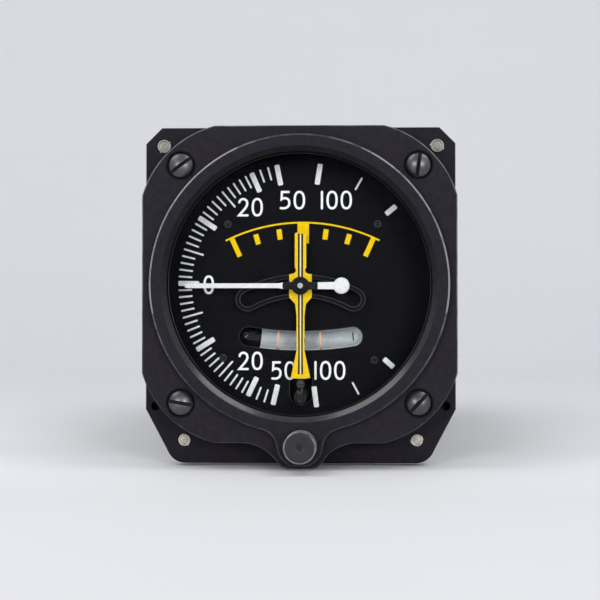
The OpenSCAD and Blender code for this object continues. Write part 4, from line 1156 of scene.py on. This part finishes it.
fork_l = stroke([(-0.77, -29.6), (-0.2, -30.7), (-0.26, -32.3)], 0.46)[0]
fork_r = stroke([(0.52, -29.0), (-0.02, -30.6), (-0.18, -31.6)], 0.46)[0]
hubs.append(plate("turn_balance_l", [fork_l], -5.2, -4.98, ["screw_grey"], bevel=0.05))
hubs.append(plate("turn_balance_r", [fork_r], -5.19, -4.99, ["screw_grey"], bevel=0.05))
place(join("turn_pointer_hub", hubs), "turn_pointer", slot="steel")

# ---------------------------------------------------------------- case and rear
place(lathe("case_body", [(39.5, -4.9), (39.5, 0.0), (39.8, 0.05), (40.0, 0.3), (40.0, 3.2), (39.72, 3.5), (39.72, 4.6), (40.0, 4.9),
                          (40.0, 118.2), (39.7, 118.5), (39.7, 119.9), (40.0, 120.2), (40.0, 125.3), (39.8, 125.8), (39.4, 126.0),
                          (31.0, 126.0), (31.0, 121.0), (38.0, 121.0), (38.0, -4.9)],
            ["black_case", "black_inner_painted_shade"], n=192, mat_of=[0] * 15 + [1] * 4), "case", "case_tube", slot="case_paint")

def rounded(w, r, cx, cz, n=6):
    pts = []
    for qx, qz, a in ((1, 1, 0), (-1, 1, 90), (-1, -1, 180), (1, -1, 270)):
        pts += arc(cx + qx * (w - r), cz + qz * (w - r), r, a, a + 90, n)
    return pts


shell_p = [(6.6, 127.0), (7.99, 127.0), (7.99, 133.2)]
for k in range(8):
    y = 133.4 + 1.05 * k
    shell_p += [(7.55, y + 0.22), (7.55, y + 0.40), (7.97, y + 0.66), (7.97, y + 0.80)]
shell_p += [(7.97, 143.2), (7.5, 143.9), (7.1, 144.0), (6.8, 143.95), (6.6, 143.7)]
rear = [lathe("conn_shell", shell_p, ["connector_metal"], n=96, cx=0, cz=6, angle=30),
        plate("conn_flange", [rounded(10.45, 1.6, 0, 6), disc(0, 6, 7.95, 72)], 129.42, 131.38, ["connector_metal"], bevel=0.15)]
for i, (qx, qz) in enumerate(((1, 1), (-1, 1), (-1, -1), (1, -1))):
    cx, cz = qx * 8.1, 6 + qz * 8.1
    prof = [(0, 132.15), (0.6, 132.12), (1.1, 132.0), (1.42, 131.8), (1.5, 131.6), (1.5, 131.3), (0, 131.3)]
    head = lathe(f"conn_screw_{i}", prof, ["steel"], n=48, cx=cx, cz=cz)
    bm = bmesh.new()
    bmesh.ops.create_cube(bm, size=1.0)
    bmesh.ops.scale(bm, vec=(5 * MM, 1.0 * MM, 0.34 * MM), verts=bm.verts)
    bmesh.ops.rotate(bm, cent=(0, 0, 0), matrix=Matrix.Rotation(math.radians(25 + 70 * i), 3, "Y"), verts=bm.verts)
    bmesh.ops.translate(bm, vec=(cx * MM, 132.3 * MM, cz * MM), verts=bm.verts)
    rear.append(cut(head, finish_mesh("slot", bm, ["slot_black"], smooth=False), f"conn_screw_{i}"))
place(join("connector_body", rear), "case", "connector_shell")

barb = [(1.3, 127.0), (2.98, 127.0), (2.98, 129.9), (2.3, 130.2), (2.3, 132.6), (2.55, 132.8), (2.55, 133.6)]
for y in (133.8, 136.7, 139.6):
    barb += [(2.96, y), (2.96, y + 0.25), (2.28, y + 2.6), (2.28, y + 2.8)]
barb += [(2.28, 142.6), (2.0, 142.98), (1.5, 143.0), (1.3, 142.8)]
place(join("nipple_body", [lathe("nipple_barb", barb, ["nipple_metal"], n=72, cx=22, cz=-20, angle=25),
                           lathe("nipple_hex", [(2.32, 129.42), (4.3, 129.42), (4.6, 129.7), (4.6, 132.0), (4.25, 132.38), (2.32, 132.38)],
                                 ["nipple_metal"], n=6, cx=22, cz=-20, angle=25)]), "case", "static_nipple")

# ---------------------------------------------------------------- capsule and centring spring
CAPS = [(4, 0), (4, 0.8), (5.5, 1.3), (7, 0.9), (8.5, 1.5), (10, 1.1), (11.4, 2.1), (11.85, 2.7), (11.4, 3.3), (6, 4), (4, 4.3),
        (4, 5.2), (6, 5.5), (11.4, 6.2), (11.85, 6.8), (11.4, 7.4), (10, 8.4), (8.5, 8), (7, 8.6), (5.5, 8.2), (4, 8.7), (4, 9.5)]
wave = []
for i in range(len(CAPS) - 1):
    q0, q1, q2, q3 = CAPS[max(0, i - 1)], CAPS[i], CAPS[i + 1], CAPS[min(len(CAPS) - 1, i + 2)]
    for k in range(4):
        t = k / 4
        wave.append(tuple(0.5 * (2 * q1[d] + (q2[d] - q0[d]) * t + (2 * q0[d] - 5 * q1[d] + 4 * q2[d] - q3[d]) * t * t
                                 + (3 * q1[d] - q0[d] - 3 * q2[d] + q3[d]) * t ** 3) for d in (0, 1)))
wave.append(CAPS[-1])
bm = bmesh.new()
loft(bm, [[(14.2 + min(r, 11.9) * math.cos(2 * math.pi * k / 120), 31 + min(r, 11.9) * math.sin(2 * math.pi * k / 120), -25 + z)
           for k in range(120)] for r, z in wave], closed=False, caps=True)
cell = finish_mesh("capsule_body", bm, ["capsule_metal"], angle=50)
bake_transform(cell)
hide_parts("capsule")

bm = bmesh.new()
turns = []
for i in range(337):
    a = i * math.radians(7.5)
    cx, cy, cz = -19 + 1.6 * math.cos(a), 54.5 + 1.6 * math.sin(a), -25 + 18.4 * i / 336
    turns.append([(cx + 0.28 * math.cos(b) * math.cos(a), cy + 0.28 * math.cos(b) * math.sin(a), cz + 0.28 * math.sin(b))
                  for b in (2 * math.pi * k / 12 for k in range(12))])
loft(bm, turns, closed=False, caps=True)
coil = finish_mesh("spring_coil", bm, ["steel"], angle=60)
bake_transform(coil)
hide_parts("centring_spring")

# ---------------------------------------------------------------- carried-over nodes
KEEP = {
    "bezel_gasket": "rubber", "glass": "window_glass", "glass_gasket": "rubber", "retaining_ring": "black_inner_painted_shade",
    "dial_posts": "brass", "slip_ball": "ball_black", "climb_shaft": "steel", "front_plate": "plate_black",
    "middle_plate": "brass", "movement_pillars": "brass", "pivot_bushes": "bronze_dark", "sector_gear": "brass",
    "rocking_arbor": "steel", "hairspring": "spring_blue", "capsule_bracket": "aluminium",
    "capsule_stem": "steel", "capillary_leak": "nipple_metal", "static_pipe": "copper", "turn_staff": "screw_black",
    "turn_fork": "steel", "bulkhead": "aluminium", "spring_post": "steel", "rear_plate": "aluminium",
    "tie_rods": "steel", "gimbal_bearings": "steel", "gimbal_frame": "aluminium", "gimbal_pivots": "steel",
    "rotor_bearings": "steel", "motor_stator": "stator", "gyro_rotor": "rotor_metal", "rotor_axle": "steel",
    "damper_cylinder": "aluminium", "damper_piston": "brass", "rear_cover": "black_case",
    "rear_cover_screws": "screw_dark", "rear_seal": "rubber",
    "connector_insert": "insulator", "connector_pins": "pin_gold",
    "knob_shaft": "steel", "knob_seal": "rubber", "zero_rack": "steel",
}
for node, mt in KEEP.items():
    ob = NODES[node]
    if not ob.material_slots:
        ob.data.materials.append(MATS[mt])
    for s in ob.material_slots:
        s.material = MATS[mt]

# ---------------------------------------------------------------- floor, lights
floor_m, nt, out = tree("floor_paper")
p = nt.nodes.new("ShaderNodeBsdfPrincipled")
nt.links.new(p.outputs[0], out.inputs["Surface"])
p.inputs["Specular IOR Level"].default_value = 0.2
f1 = noise(nt, coords(nt), 6.0, 2.0)
sx = nt.nodes.new("ShaderNodeSeparateXYZ")
nt.links.new(coords(nt), sx.inputs[0])
paper = ramp(nt, f1, [(0.3, (0.925, 0.926, 0.946)), (0.7, (0.935, 0.936, 0.956))])
# painted light and shade: the paper's colour is scaled along Y, darker around the object and brighter far back up the
# sweep, as painted falloff of the light and painted shadow of the object
FLOOR_PAINTED_SHADING = [(0.0, 0.636), (0.017, 0.632), (0.036, 0.667), (0.048, 0.710), (0.054, 0.713), (0.0604, 0.673), (0.0672, 0.641), (0.0817, 0.637),
        (0.0976, 0.624), (0.1152, 0.618), (0.1352, 0.607), (0.1607, 0.604), (0.2003, 0.608), (0.246, 0.633), (0.3758, 0.706),
        (0.5992, 0.846), (0.8661, 0.926), (0.91, 0.921), (0.9267, 0.912), (0.9775, 0.897), (1.0, 0.889)]
floor_painted_shading = ramp(nt, spread(nt, sx.outputs["Y"], 0.0, 1.0, -0.1, 1.9),
            FLOOR_PAINTED_SHADING)
nt.links.new(mixc(nt, 1.0, paper, floor_painted_shading, "MULTIPLY"), p.inputs["Base Color"])
nt.links.new(spread(nt, f1, 0.75, 0.85), p.inputs["Roughness"])
bm = bmesh.new()
LEAN = 0.0772
prof = [(y, -0.0503 + LEAN * (y + 0.0054)) for y in (-4.0, -0.6, -0.05, 0.15)]
for k in range(1, 9):
    y, z = prof[-1]
    prof.append((y + 0.03, z + 0.03 * LEAN * (1 - (k - 0.5) / 8)))
base_z = prof[-1][1]
prof.append((1.6, base_z))
for k in range(1, 13):
    t = k / 12 * math.pi / 2
    prof.append((1.6 + 0.9 * math.sin(t), base_z + 0.9 * (1 - math.cos(t))))
prof.append((2.5, 3.2))
vs = [[bm.verts.new((x, y, z)) for x in (-4.0, 4.0)] for y, z in prof]
for a, b in zip(vs, vs[1:]):
    bm.faces.new((a[0], a[1], b[1], b[0]))
me = bpy.data.meshes.new("floor")
bm.to_mesh(me)
bm.free()
me.materials.append(floor_m)
me.shade_smooth()
floor = bpy.data.objects.new("floor", me)
scene.collection.objects.link(floor)

world = bpy.data.worlds.new("studio")
scene.world = world
world.use_nodes = True
bg = world.node_tree.nodes["Background"]
bg.inputs["Color"].default_value = (0.93, 0.95, 1.0, 1)
bg.inputs["Strength"].default_value = 0.74


def area(name, at, aim, size, power, color=(1, 1, 1), size_y=None):
    li = bpy.data.lights.new(name, "AREA")
    li.shape = "RECTANGLE"
    li.size = size
    li.size_y = size_y or size
    li.energy = power
    li.color = color
    ob = bpy.data.objects.new(name, li)
    scene.collection.objects.link(ob)
    ob.location = at
    ob.rotation_euler = (Vector(aim) - Vector(at)).to_track_quat("-Z", "Y").to_euler()
    return ob


area("key", (-0.58, -0.16, 0.86), (0, 0, 0), 0.62, 3.6)
area("second", (0.56, -0.16, 0.90), (0, 0, 0), 0.50, 2.9)
area("front_left", (-0.80, -1.85, 0.36), (0, 0, 0), 0.6, 13.0)
area("front_right", (0.80, -1.85, 0.36), (0, 0, 0), 0.6, 15.0)
area("top", (0.0, 0.12, 1.0), (0, 0, 0), 0.8, 0.9, size_y=0.45)
